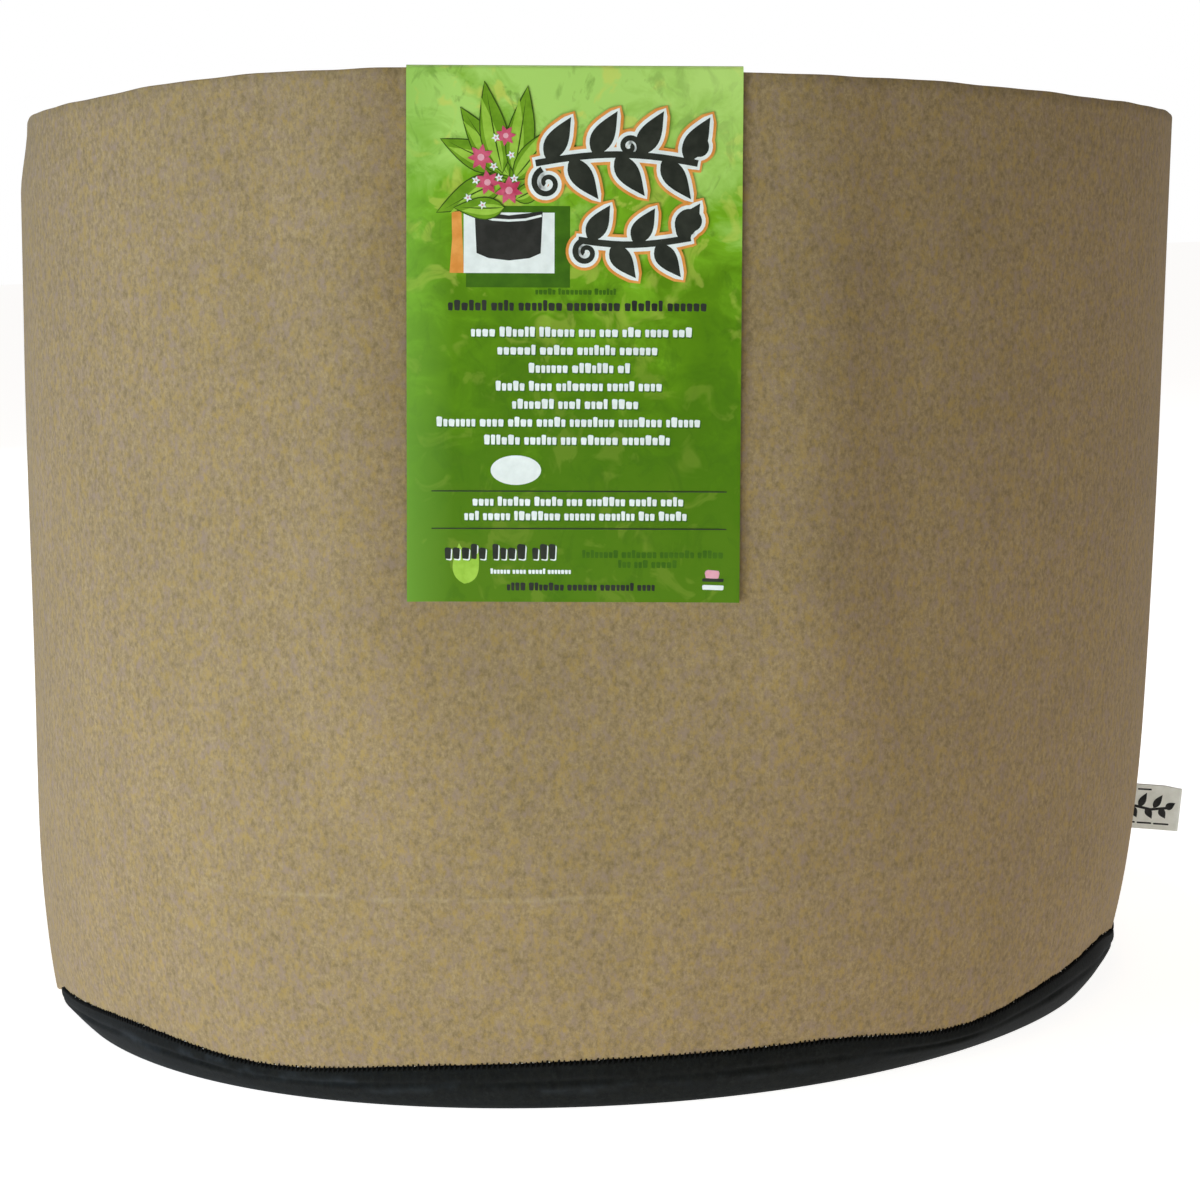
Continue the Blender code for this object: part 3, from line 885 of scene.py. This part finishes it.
def ink_material(name, dark, light, roughness=0.6):
    """Printed ink, a little uneven."""
    n = Nodes(name)
    patchy = n.noise(n.coordinates(), 210.0, 3.0, 0.6)
    n.colour(n.ramp(patchy, (0.35, dark), (0.65, light)))
    n.rough(n.spread(patchy, 0.3, 0.7, roughness - 0.05, roughness + 0.05))
    n.bump(patchy, 0.00001, 0.3)
    n.fixed(Specular_IOR_Level=0.16)
    return n.material


LABEL_ROWS = 17
LABEL_STEP = 0.6 * MM
LABEL = label_material()
BLACK_INK = ink_material("black_ink", (0.012, 0.012, 0.012), (0.035, 0.035, 0.033))


def tag_axes():
    """The label's pivot and its outward, sideways and along directions."""
    heights = np.array([TAG_HEIGHT, TAG_HEIGHT + TAG_WIDTH / 2, TAG_HEIGHT - TAG_WIDTH / 2])
    point, outward, sideways = side_seam_axes(heights)
    along = unit(point[1] - point[2])
    return point[0], unit(outward - along * np.dot(outward, along)), sideways, along


def label_sway(out, width_share):
    """How far the ribbon rises, and how far it curls sideways, this far out from the seam."""
    share = ease(out / TAG_LENGTH)
    return TAG_RISE + TAG_TIP_RISE * share, TAG_CURL * np.sin(math.pi * width_share) * share


def even_path(points, step):
    """Points about a step apart along the straight lines between the given ones."""
    points = np.asarray(points, float)
    run = run_along(points)
    at = np.linspace(0.0, run[-1], int(run[-1] / step) + 1)
    return np.stack([np.interp(at, run, points[:, k]) for k in range(points.shape[1])], axis=-1)


def make_label():
    """The label: one ribbon, folded into a loop, with its two ends caught in the side seam."""
    pivot, outward, sideways, along = tag_axes()
    half, near = TAG_HALF_LOOP - TAG_PLY / 2, -TAG_TAIL_BACK - TAG_TAIL
    tip = TAG_LENGTH - TAG_HALF_LOOP
    side = [(near, 0.22 * MM), (0.5 * MM, 0.30 * MM), (5.0 * MM, half), (tip, half)]
    turn = [
        (tip + half * 1.3 * math.cos(a), half * math.sin(a))
        for a in np.radians([60.0, 30.0, 0.0, -30.0, -60.0])
    ]
    middle = even_path(side + turn + [(a, -b) for a, b in reversed(side)], LABEL_STEP)
    loop = stroke(middle, TAG_PLY)
    run = np.arange(len(middle)) * LABEL_STEP
    runs = np.concatenate([run, run[::-1]])
    sections, uv = [], []
    for w in np.linspace(-0.5, 0.5, LABEL_ROWS):
        width = np.full(len(loop), w * TAG_WIDTH)
        shrink = 0.075 * ease((loop[:, 0] - 0.70 * TAG_LENGTH) / (0.30 * TAG_LENGTH))
        width = np.where(w > 0.0, width * (1.0 - shrink * 2.2 * w), width)
        rise, curl = label_sway(loop[:, 0], w)
        sections.append(
            pivot + outward * loop[:, :1] + sideways * (loop[:, 1:] + curl[:, None])
            + along * (width + rise)[:, None]
        )
        uv.append(np.stack([runs, width + TAG_WIDTH], axis=-1))
    faces = grid_faces(LABEL_ROWS, len(loop)) + folded_ends(LABEL_ROWS, len(loop))
    made = mesh_piece("loop_label", sections, faces, LABEL, uv=np.array(uv).reshape(-1, 2))
    return made, tuple(pivot - outward * 0.4 * MM), tuple(pivot + outward * 3.0 * MM)


loop_label, label_start, label_end = make_label()
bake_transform(loop_label)
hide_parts("side_tag_loop", "side_tag_tail")

# ---------------------------------------------------------------- flat prints


def leaf_shape(x, y, length, width, turn, points=9, lean=0.0):
    """A pointed leaf from (x, y), as an outline. Turn is in degrees, up from the right."""
    u = np.linspace(0.0, 1.0, points)
    half = width / 2 * np.sin(math.pi * u**0.8) * (1.0 - 0.25 * u)
    bend = lean * u * u
    top = np.stack([u * length, half + bend], axis=-1)
    low = np.stack([u * length, -half + bend], axis=-1)[1:-1][::-1]
    outline = np.concatenate([top, low])
    c, s = math.cos(math.radians(turn)), math.sin(math.radians(turn))
    return np.stack([x + outline[:, 0] * c - outline[:, 1] * s,
                     y + outline[:, 0] * s + outline[:, 1] * c], axis=-1)


def grown(outline, amount):
    """The outline pushed out by this much all round."""
    outline = np.asarray(outline, float)
    before, after = np.roll(outline, 1, axis=0), np.roll(outline, -1, axis=0)
    tangent = unit(outline - before) + unit(after - outline)
    area = np.sum(before[:, 0] * outline[:, 1] - outline[:, 0] * before[:, 1])
    normal = unit(np.stack([tangent[:, 1], -tangent[:, 0]], axis=-1))
    return outline + normal * amount * np.sign(area)


def disc(x, y, rx, ry=None, points=20):
    turn = np.arange(points) * 2.0 * math.pi / points
    return np.stack([x + rx * np.cos(turn), y + (ry or rx) * np.sin(turn)], axis=-1)


def bar(x0, y0, x1, y1, end=0.0):
    """A rectangle with its ends rounded by this much."""
    if end <= 0.0:
        return np.array([(x0, y0), (x1, y0), (x1, y1), (x0, y1)], float)
    turn = np.radians([180.0, 225.0, 270.0, 315.0, 360.0, 45.0, 90.0, 135.0])
    xs = np.array([x0 + end] * 3 + [x1 - end] * 4 + [x0 + end])
    ys = np.array([y0 + end] * 5 + [y1 - end] * 3)
    return np.stack([xs + end * np.cos(turn), ys + end * np.sin(turn)], axis=-1)


def printed(name, layers, place, inks, body):
    """Thin printed shapes, laid on a surface in order. layers are (ink's name, lift, outline)."""
    points, faces = [], []
    for _, lift, outline in layers:
        outline = np.asarray(outline, float)
        x, y = outline[:, 0], outline[:, 1]
        if np.sum(x * np.roll(y, -1) - y * np.roll(x, -1)) < 0.0:
            outline = outline[::-1]
        faces.append(tuple(range(len(points), len(points) + len(outline))))
        points += list(place(outline[:, 0], outline[:, 1], lift))
    numbers = [list(inks).index(layer[0]) for layer in layers]
    made = mesh_piece(name, points, faces, list(inks.values()), 30.0, numbers=numbers)
    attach(made, body)


def on_label(side):
    """Places on one face of the label, from millimetres outwards and up its width."""
    pivot, outward, sideways, along = tag_axes()

    def place(out, up, lift):
        out, up = np.asarray(out) * MM, np.asarray(up) * MM
        rise, curl = label_sway(out, up / TAG_WIDTH)
        across = side * (TAG_HALF_LOOP + lift * MM) + curl
        return pivot + outward * out[:, None] + sideways * across[:, None] + along * (up + rise)[:, None]

    return place


def label_print():
    """A bold sprig of leaves between two rows of small bars."""
    layers = [("black", 0.04, stroke([(2.4, -0.9), (8.0, 0.1), (14.0, -0.9), (21.5, 0.3)], 1.0))]
    for x, turn, length in (
        (4.2, 62.0, 5.6), (6.6, -60.0, 4.8), (9.4, 66.0, 6.2), (12.2, -58.0, 5.0), (15.0, 60.0, 6.0),
        (17.4, -56.0, 4.6), (19.6, 34.0, 4.4),
    ):
        layers.append(("black", 0.045, leaf_shape(x, -0.2, length, 3.1, turn)))
    for y, x0, x1 in ((6.7, 3.6, 7.4), (6.7, 8.2, 13.6), (-6.2, 2.2, 8.6), (-6.2, 9.3, 14.9),
                      (-6.2, 15.6, 21.6)):
        layers.append(("black", 0.04, bar(x0, y - 0.36, x1, y + 0.36, 0.3)))
    return layers


for name, side in (("label_print_front", -1.0), ("label_print_back", 1.0)):
    printed(name, label_print(), on_label(side), {"black": BLACK_INK}, "tag")

# ---------------------------------------------------------------- the hang card

CARD_COLUMNS = 40
FOLD_LIFT = 0.25 * MM


def card_place(across, down, inset):
    """Points of the card: across it, down from its fold, and in from the wall's outside."""
    across, down = np.asarray(across, float), np.asarray(down, float)
    x = CARD_X + across * math.cos(CARD_TILT) - down * math.sin(CARD_TILT)
    height = CARD_TOP - across * math.sin(CARD_TILT) - down * math.cos(CARD_TILT)
    return wall_front(x, height, inset)


def card_curl(across, down):
    """How far the front flap's edges and lower corners curl away from the felt."""
    edge = ease((np.abs(across) - 40.0 * MM) / (12.0 * MM))
    low = ease((down - 120.0 * MM) / (45.0 * MM))
    return 0.25 * MM * edge + 0.35 * MM * low * (0.4 + edge)


def card_material():
    """Coated card, printed with a green ground painted in soft brush strokes."""
    n = Nodes("card_front_looks")
    uv = n.coordinates("UV")
    split = n.node("ShaderNodeSeparateXYZ")
    n.link(uv, split.inputs[0])
    right, up = split.outputs[0], split.outputs[1]
    strokes = n.noise(n.coordinates("UV", (1.0, 1.9, 1.0), (0.0, 0.0, 0.5)), 9.0, 4.0, 0.62, 0.6)
    broad = n.noise(uv, 3.2, 3.0, 0.55, 0.4)
    height = n.math("ADD", up, n.spread(broad, 0.3, 0.7, -0.16, 0.16))
    height = n.math("ADD", height, n.spread(strokes, 0.3, 0.7, -0.13, 0.13))
    ground = n.ramp(
        height,
        (0.02, (0.088, 0.198, 0.003)), (0.26, (0.074, 0.186, 0.001)), (0.50, (0.110, 0.255, 0.002)),
        (0.72, (0.195, 0.420, 0.012)), (0.97, (0.440, 0.690, 0.150)),
    )
    daub = n.noise(n.coordinates("UV", (1.0, 1.5, 1.0), (0.0, 0.0, -0.7)), 8.5, 3.0, 0.55, 0.9)
    where = n.spread(up, 0.40, 0.92, 0.15, 1.0)
    yellow = n.math("MULTIPLY", n.spread(daub, 0.57, 0.64), where)
    ground = n.mix(n.math("MULTIPLY", yellow, 0.60), ground, (0.66, 0.66, 0.12))
    deep = n.spread(n.noise(uv, 12.0, 4.0, 0.62, 1.2), 0.55, 0.66, 0.0, 0.40)
    ground = n.mix(deep, ground, (0.055, 0.145, 0.002))
    side = n.spread(right, 0.14, 0.0, 0.0, 0.45)
    ground = n.mix(side, ground, (0.225, 0.460, 0.065))
    corner = n.math("MULTIPLY", n.spread(right, 0.55, 1.0), n.spread(up, 0.72, 0.98))
    ground = n.mix(n.math("MULTIPLY", corner, 0.75), ground, (0.560, 0.790, 0.210))
    grain = n.noise(n.coordinates(), 2600.0, 2.0, 0.6)
    n.colour(ground)
    n.rough(n.spread(grain, 0.3, 0.7, 0.40, 0.52))
    n.bump(grain, 0.00001, 0.4)
    n.fixed(Specular_IOR_Level=0.14)
    return n.material


CARD_FACE = card_material()
PAPER_EDGE = ink_material("card_edge_looks", (0.55, 0.62, 0.42), (0.72, 0.76, 0.60), 0.7)


def card_path():
    """The card's middle line in section, from the back flap's foot over the fold to the front's."""
    inside = FELT + CARD_GAP + CARD_STOCK / 2
    outside = -CARD_GAP - CARD_STOCK / 2
    corner = 0.9 * MM
    path = [(inside, d) for d in np.linspace(CARD_BACK_DROP, CARD_STOCK + corner, 26)]
    centre = (inside + outside) / 2
    half = (inside - outside) / 2
    for turn in np.radians(np.linspace(12.0, 168.0, 27)):
        c, s = math.cos(turn), math.sin(turn)
        reach = (abs(c) ** 3.2 + abs(s) ** 3.2) ** (-1.0 / 3.2)
        rise = (corner + FOLD_LIFT) * reach * s
        path.append((centre + half * reach * c, CARD_STOCK + corner - rise))
    path += [(outside, d) for d in np.linspace(CARD_STOCK + corner, CARD_FRONT_DROP, 56)]
    return np.array(path)


def make_card():
    """One printed card folded over the rim."""
    path = card_path()
    loop = stroke(path, CARD_STOCK)
    size = len(loop)
    in_by, down = loop[:, 0], np.maximum(loop[:, 1], 0.0)
    above_fold = np.minimum(loop[:, 1], 0.0)
    run = run_along(path)
    v = 1.0 - (run - run[np.argmin(path[:, 1])]) / CARD_FRONT_DROP
    vs = np.concatenate([v, v[::-1]])
    sections, uv = [], []
    for share in np.arange(CARD_COLUMNS + 1) / CARD_COLUMNS:
        across = (share - 0.5) * CARD_WIDTH
        held = card_place(np.full(size, across), down, 0.0)
        held[:, 1] += in_by - np.where(in_by < 0.0, card_curl(across, down), 0.0)
        held[:, 2] -= above_fold
        sections.append(held)
        uv.append(np.stack([np.full(size, share), vs], axis=-1))
    sides, ends = grid_faces(len(sections), size), folded_ends(len(sections), size)
    return mesh_piece(
        "hang_card", sections, sides + ends, [CARD_FACE, PAPER_EDGE],
        uv=np.array(uv).reshape(-1, 2), numbers=[0] * len(sides) + [1] * len(ends),
    )


def fold_direction():
    """The hinge's place at the card's fold, and the card's own outward normal there."""
    top = card_place(0.0, 0.0, 0.0)
    down = unit(card_place(0.0, CARD_FRONT_DROP, 0.0) - top)
    across = np.array([math.cos(CARD_TILT), 0.0, -math.sin(CARD_TILT)])
    normal = unit(np.cross(down, across))
    return top, normal * -np.sign(normal[1])


hang_card = make_card()
hinge_at, card_normal = fold_direction()
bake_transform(hang_card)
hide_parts("card_front", "card_back")


def on_card(x, y, lift):
    """Places on the card's front: millimetres from its top left corner, right and down."""
    across = np.asarray(x) * MM - CARD_WIDTH / 2
    down = np.asarray(y) * MM
    held = card_place(across, down, 0.0)
    held[:, 1] += -CARD_GAP - CARD_STOCK - card_curl(across, down) - lift * MM
    return held


INK_SHADES = {
    "white": ((0.78, 0.80, 0.78), (0.88, 0.90, 0.88)),
    "black": ((0.020, 0.022, 0.016), (0.034, 0.036, 0.026)),
    "orange": ((0.72, 0.26, 0.045), (0.84, 0.36, 0.085)),
    "shade": ((0.040, 0.120, 0.003), (0.058, 0.155, 0.004)),
    "leaf": ((0.125, 0.270, 0.008), (0.190, 0.370, 0.016)),
    "leaf_dark": ((0.030, 0.070, 0.004), (0.055, 0.110, 0.008)),
    "leaf_light": ((0.270, 0.480, 0.035), (0.380, 0.600, 0.070)),
    "pink": ((0.52, 0.040, 0.100), (0.68, 0.120, 0.200)),
    "rose": ((0.72, 0.26, 0.34), (0.82, 0.40, 0.48)),
    "pot": ((0.022, 0.021, 0.018), (0.036, 0.034, 0.030)),
}
CARD_INKS = {name: ink_material(f"card_{name}_ink", *shades, 0.5) for name, shades in INK_SHADES.items()}


def draw_leaf(layers, x, y, length, width, turn, lift, lean=0.0):
    """A painted leaf: dark outline, green blade, lighter half and a midrib."""
    blade = leaf_shape(x, y, length, width, turn, 11, lean)
    layers.append(("leaf_dark", lift, grown(blade, 0.35)))
    layers.append(("leaf", lift + 0.01, blade))
    light = leaf_shape(x, y, length * 0.86, width * 0.52, turn - 5.0, 9, lean)
    layers.append(("leaf_light", lift + 0.02, light))
    rib = leaf_shape(x, y, length * 0.9, 0.5, turn, 7, lean)
    layers.append(("leaf_dark", lift + 0.03, rib))


def draw_flower(layers, x, y, size, petals, lift, colour, heart):
    """A small flower of pointed petals."""
    for k in range(petals):
        turn = 360.0 * k / petals + 17.0 * x
        petal = leaf_shape(x, y, size, size * 0.55, turn, 6)
        layers.append((colour, lift + 0.004 * (k % 2), petal))
    layers.append((heart, lift + 0.012, disc(x, y, size * 0.26, points=9)))


def plant_picture():
    """A potted plant on a white panel, in the card's upper left."""
    edge = [(13.6, 41.5), (15.3, 39.6), (16.6, 43.5), (17.4, 62.2), (13.0, 62.2), (13.8, 52.0)]
    pot = [(20.6, 43.6), (31.0, 44.9), (41.2, 43.6), (40.6, 56.2), (37.2, 57.7), (31.0, 58.4),
           (24.8, 57.7), (21.2, 56.2)]
    band = [(20.9, 44.9), (26.0, 46.1), (31.0, 46.4), (36.0, 46.1), (40.9, 44.9)]
    layers = [
        ("shade", 0.030, bar(18.0, 42.0, 49.5, 66.5)), ("orange", 0.045, edge),
        ("white", 0.050, bar(17.3, 44.0, 44.8, 62.2)), ("pot", 0.060, pot),
        ("white", 0.066, stroke(band, 0.7)),
    ]
    leaves = (
        (30.0, 30.0, 21.0, 9.5, 196.0, 2.2), (30.0, 34.0, 23.0, 9.5, 158.0, -1.5),
        (34.0, 30.0, 18.0, 7.5, 345.0, -1.5), (31.0, 33.0, 25.0, 9.5, 232.0, 1.0),
        (29.0, 32.0, 27.5, 9.0, 257.0, 0.8), (32.5, 32.0, 26.0, 9.0, 281.0, -0.8),
        (32.5, 34.0, 20.0, 8.5, 312.0, -1.5), (29.5, 42.5, 15.0, 7.0, 176.0, 1.0),
        (33.0, 40.0, 10.0, 6.0, 335.0, -0.6),
    )
    lift = 0.075
    for x, y, length, width, turn, lean in leaves:
        draw_leaf(layers, x, y, length, width, turn, lift, lean)
        lift += 0.04
    lift += 0.02
    for x, y, size in ((22.5, 27.5, 4.1), (30.0, 21.0, 3.2), (24.5, 35.0, 3.9), (31.0, 37.4, 4.4)):
        draw_flower(layers, x, y, size, 7, lift, "pink", "rose")
    for x, y in ((27.0, 21.6), (31.6, 26.8), (26.4, 30.2), (21.0, 34.4), (28.0, 33.6), (32.6, 33.8),
                 (18.6, 39.6), (23.0, 41.8)):
        draw_flower(layers, x, y, 1.35, 5, lift + 0.02, "white", "rose")
    return layers


def tendril(x, y, size, turns, start, width):
    """A curled tendril that winds in from (x, y)."""
    u = np.linspace(0.0, 1.0, 34)
    turn = math.radians(start) + u * turns * 2.0 * math.pi
    spiral = np.stack([np.cos(turn), np.sin(turn)], -1)
    curl = size * (1.0 - 0.82 * u)[:, None] * spiral
    return stroke(np.array([x, y]) - size * spiral[0] + curl, width, 0.3)


def sprig_picture():
    """A garland of plain leaves beside the plant: dark, edged in white, with an orange glow."""
    blades = []
    upper = np.stack([np.linspace(39.0, 88.0, 15), 29.5 - 3.0 * np.sin(np.linspace(0.1, 3.0, 15))], -1)
    lower = np.stack([np.linspace(52.0, 86.0, 11), 51.5 + 2.0 * np.sin(np.linspace(0.3, 3.2, 11))], -1)
    for stem, length, wide in ((upper, 15.0, 7.6), (lower, 12.5, 7.0)):
        for k, (x, y) in enumerate(stem[1:-1:2]):
            turn, lean = ((-66.0, 1.2), (60.0, -1.2))[k % 2]
            blades.append(leaf_shape(x, y, length, wide, turn, 12, lean))
        blades.append(stroke(stem, 2.0))
        blades.append(tendril(*stem[-1], 4.6, 1.35, 90.0, 2.0))
    for x, y, size, start in ((41.0, 31.0, 4.4, 250.0), (53.0, 52.5, 3.6, 250.0), (69.0, 27.0, 3.4, 60.0)):
        blades.append(tendril(x, y, size, -1.3, start, 1.8))
    return [
        (colour, lift + 0.001 * k, grown(blade, amount))
        for colour, lift, amount in (("orange", 0.420, 2.05), ("white", 0.440, 1.15), ("black", 0.460, 0.0))
        for k, blade in enumerate(blades)
    ]


def greeked_line(layers, colour, x0, x1, y, tall, rng, shadow):
    """A line of text shown only as plain rounded blocks, with a gap at each word's end."""
    lift = 0.06 if shadow else 0.05
    x = x0
    while x < x1 - tall * 2.0:
        for _ in range(int(rng.integers(3, 9))):
            wide = tall * rng.uniform(0.50, 0.82)
            if x + wide > x1:
                x = x1
                break
            high = tall * (1.32 if rng.random() < 0.25 else 1.0)
            low = y + tall / 2
            if shadow:
                layers.append((shadow, lift - 0.015, bar(
                    x + 0.3, low - high + 0.35, x + wide + 0.35, low + 0.4, wide * 0.3)))
            layers.append((colour, lift, bar(x, low - high, x + wide, low, wide * 0.3)))
            x += wide + tall * 0.13
        x += tall * 0.42


def lettering_bars():
    """Bars where the card has print, its white oval, two rules and a leaf mark."""
    rng = np.random.default_rng(SEED + 2)
    layers = []
    middles = ((19.5, 88.0), (27.5, 80.0), (37.0, 69.5), (27.0, 79.5), (32.0, 74.5), (9.0, 95.0),
               (23.5, 81.5))
    for colour, x0, x1, y, tall, shadow in (
        ("shade", 39.0, 66.0, 67.9, 1.5, None), ("black", 12.5, 92.0, 72.3, 2.5, None),
        *(("white", x0, x1, 80.2 + 5.45 * k, 2.35, "shade") for k, (x0, x1) in enumerate(middles)),
        ("white", 20.0, 86.0, 131.6, 2.2, "shade"), ("white", 17.5, 88.5, 136.0, 2.2, "shade"),
        ("black", 11.5, 46.0, 147.2, 3.6, "white"), ("white", 25.5, 52.0, 152.8, 1.3, None),
        ("shade", 53.5, 97.0, 147.6, 1.9, None), ("shade", 64.5, 86.0, 150.6, 1.9, None),
        ("black", 30.5, 77.0, 157.6, 1.9, None),
    ):
        greeked_line(layers, colour, x0, x1, y, tall, rng, shadow)
    for y in (128.2, 139.6):
        layers.append(("black", 0.05, bar(7.5, y - 0.16, 97.5, y + 0.16)))
    layers += [
        ("white", 0.05, disc(33.2, 121.8, 7.7, 4.5, 36)),
        ("leaf_light", 0.045, leaf_shape(17.5, 156.5, 12.5, 6.0, 258.0, 12, 1.0)),
        ("leaf_light", 0.047, leaf_shape(17.5, 156.5, 10.5, 5.0, 300.0, 12, -1.0)),
        ("rose", 0.05, bar(91.0, 152.0, 95.5, 154.8, 1.0)),
        ("black", 0.06, bar(90.2, 154.6, 96.8, 155.7, 0.4)),
        ("white", 0.06, bar(90.2, 156.6, 96.8, 158.2, 0.5)),
    ]
    return layers


for name, layers in (
    ("card_plant_print", plant_picture()), ("card_sprig_print", sprig_picture()),
    ("card_bars_print", lettering_bars()),
):
    printed(name, layers, on_card, CARD_INKS, "card_flap")

# ---------------------------------------------------------------- the studio


def make_world():
    """A dim even sky for the light, seen as plain white."""
    world = bpy.data.worlds.new("studio_world")
    bpy.context.scene.world = world
    world.use_nodes = True
    tree = world.node_tree
    which = tree.nodes.new("ShaderNodeMixShader")
    tree.links.new(tree.nodes.new("ShaderNodeLightPath").outputs["Is Camera Ray"], which.inputs[0])
    lighting, seen = tree.nodes["Background"], tree.nodes.new("ShaderNodeBackground")
    for sky, strength, socket in ((lighting, 0.05, which.inputs[1]), (seen, 1.0, which.inputs[2])):
        sky.inputs["Color"].default_value = (1.0, 1.0, 1.0, 1.0)
        sky.inputs["Strength"].default_value = strength
        tree.links.new(sky.outputs[0], socket)
    tree.links.new(which.outputs[0], tree.nodes["World Output"].inputs["Surface"])


def floor_material():
    """A white floor that glows: seen as even white, but lighting things mostly from near by."""
    n = Nodes("studio_white")
    n.fixed(Base_Color=(0.9, 0.9, 0.9, 1.0), Roughness=0.9, Specular_IOR_Level=0.1)
    n.fixed(Emission_Color=(1.0, 0.985, 0.97, 1.0))
    away = n.node("ShaderNodeVectorMath", operation="LENGTH")
    n.link(n.coordinates(), away.inputs[0])
    glow = n.spread(away.outputs["Value"], 0.8, 2.0, 1.04, 0.125)
    seen = n.node("ShaderNodeLightPath").outputs["Is Camera Ray"]
    unseen = n.math("MULTIPLY", n.math("SUBTRACT", 1.0, seen), glow)
    strength = n.math("ADD", n.math("MULTIPLY", seen, 0.93), unseen)
    n.link(strength, n.shader.inputs["Emission Strength"])
    return n.material


def make_studio():
    """A white floor, and soft lights: three low on the left, one above the opening, one behind."""
    corners = [(x, y, -0.0002) for x, y in ((-8.0, -8.0), (8.0, -8.0), (8.0, 8.0), (-8.0, 8.0))]
    mesh_piece("studio_floor", corners, [(0, 1, 2, 3)], floor_material())
    for name, place, aim, size, power, colour in (
        ("near", (-0.75, -0.70, 0.03), (-0.10, -0.10, 0.03), 0.5, 6.7, (0.79, 0.955, 1.0)),
        ("front", (-0.35, -0.95, 0.03), (-0.10, -0.10, 0.03), 0.5, 2.1, (0.80, 1.0, 0.85)),
        ("left", (-0.98, -0.30, 0.03), (-0.15, 0.0, 0.03), 0.5, 3.0, (0.28, 0.40, 1.0)),
        ("inside", (0.0, 0.0, 1.5), (0.0, 0.0, 0.0), 0.3, 8.0, (1.0, 0.99, 0.97)),
        ("back", (-0.6, 2.0, 0.9), (0.0, 0.0, 0.15), 1.4, 4.0, (1.0, 0.99, 0.97)),
    ):
        data = bpy.data.lights.new(name, "AREA")
        data.shape = "DISK"
        data.size = size
        data.energy = power
        data.color = colour
        lamp = bpy.data.objects.new(name, data)
        lamp.location = place
        lamp.rotation_euler = (Vector(aim) - Vector(place)).to_track_quat("-Z", "Y").to_euler()
        lamp.visible_camera = False
        bpy.context.scene.collection.objects.link(lamp)
    bpy.context.scene.view_settings.view_transform = "Standard"


make_world()
make_studio()
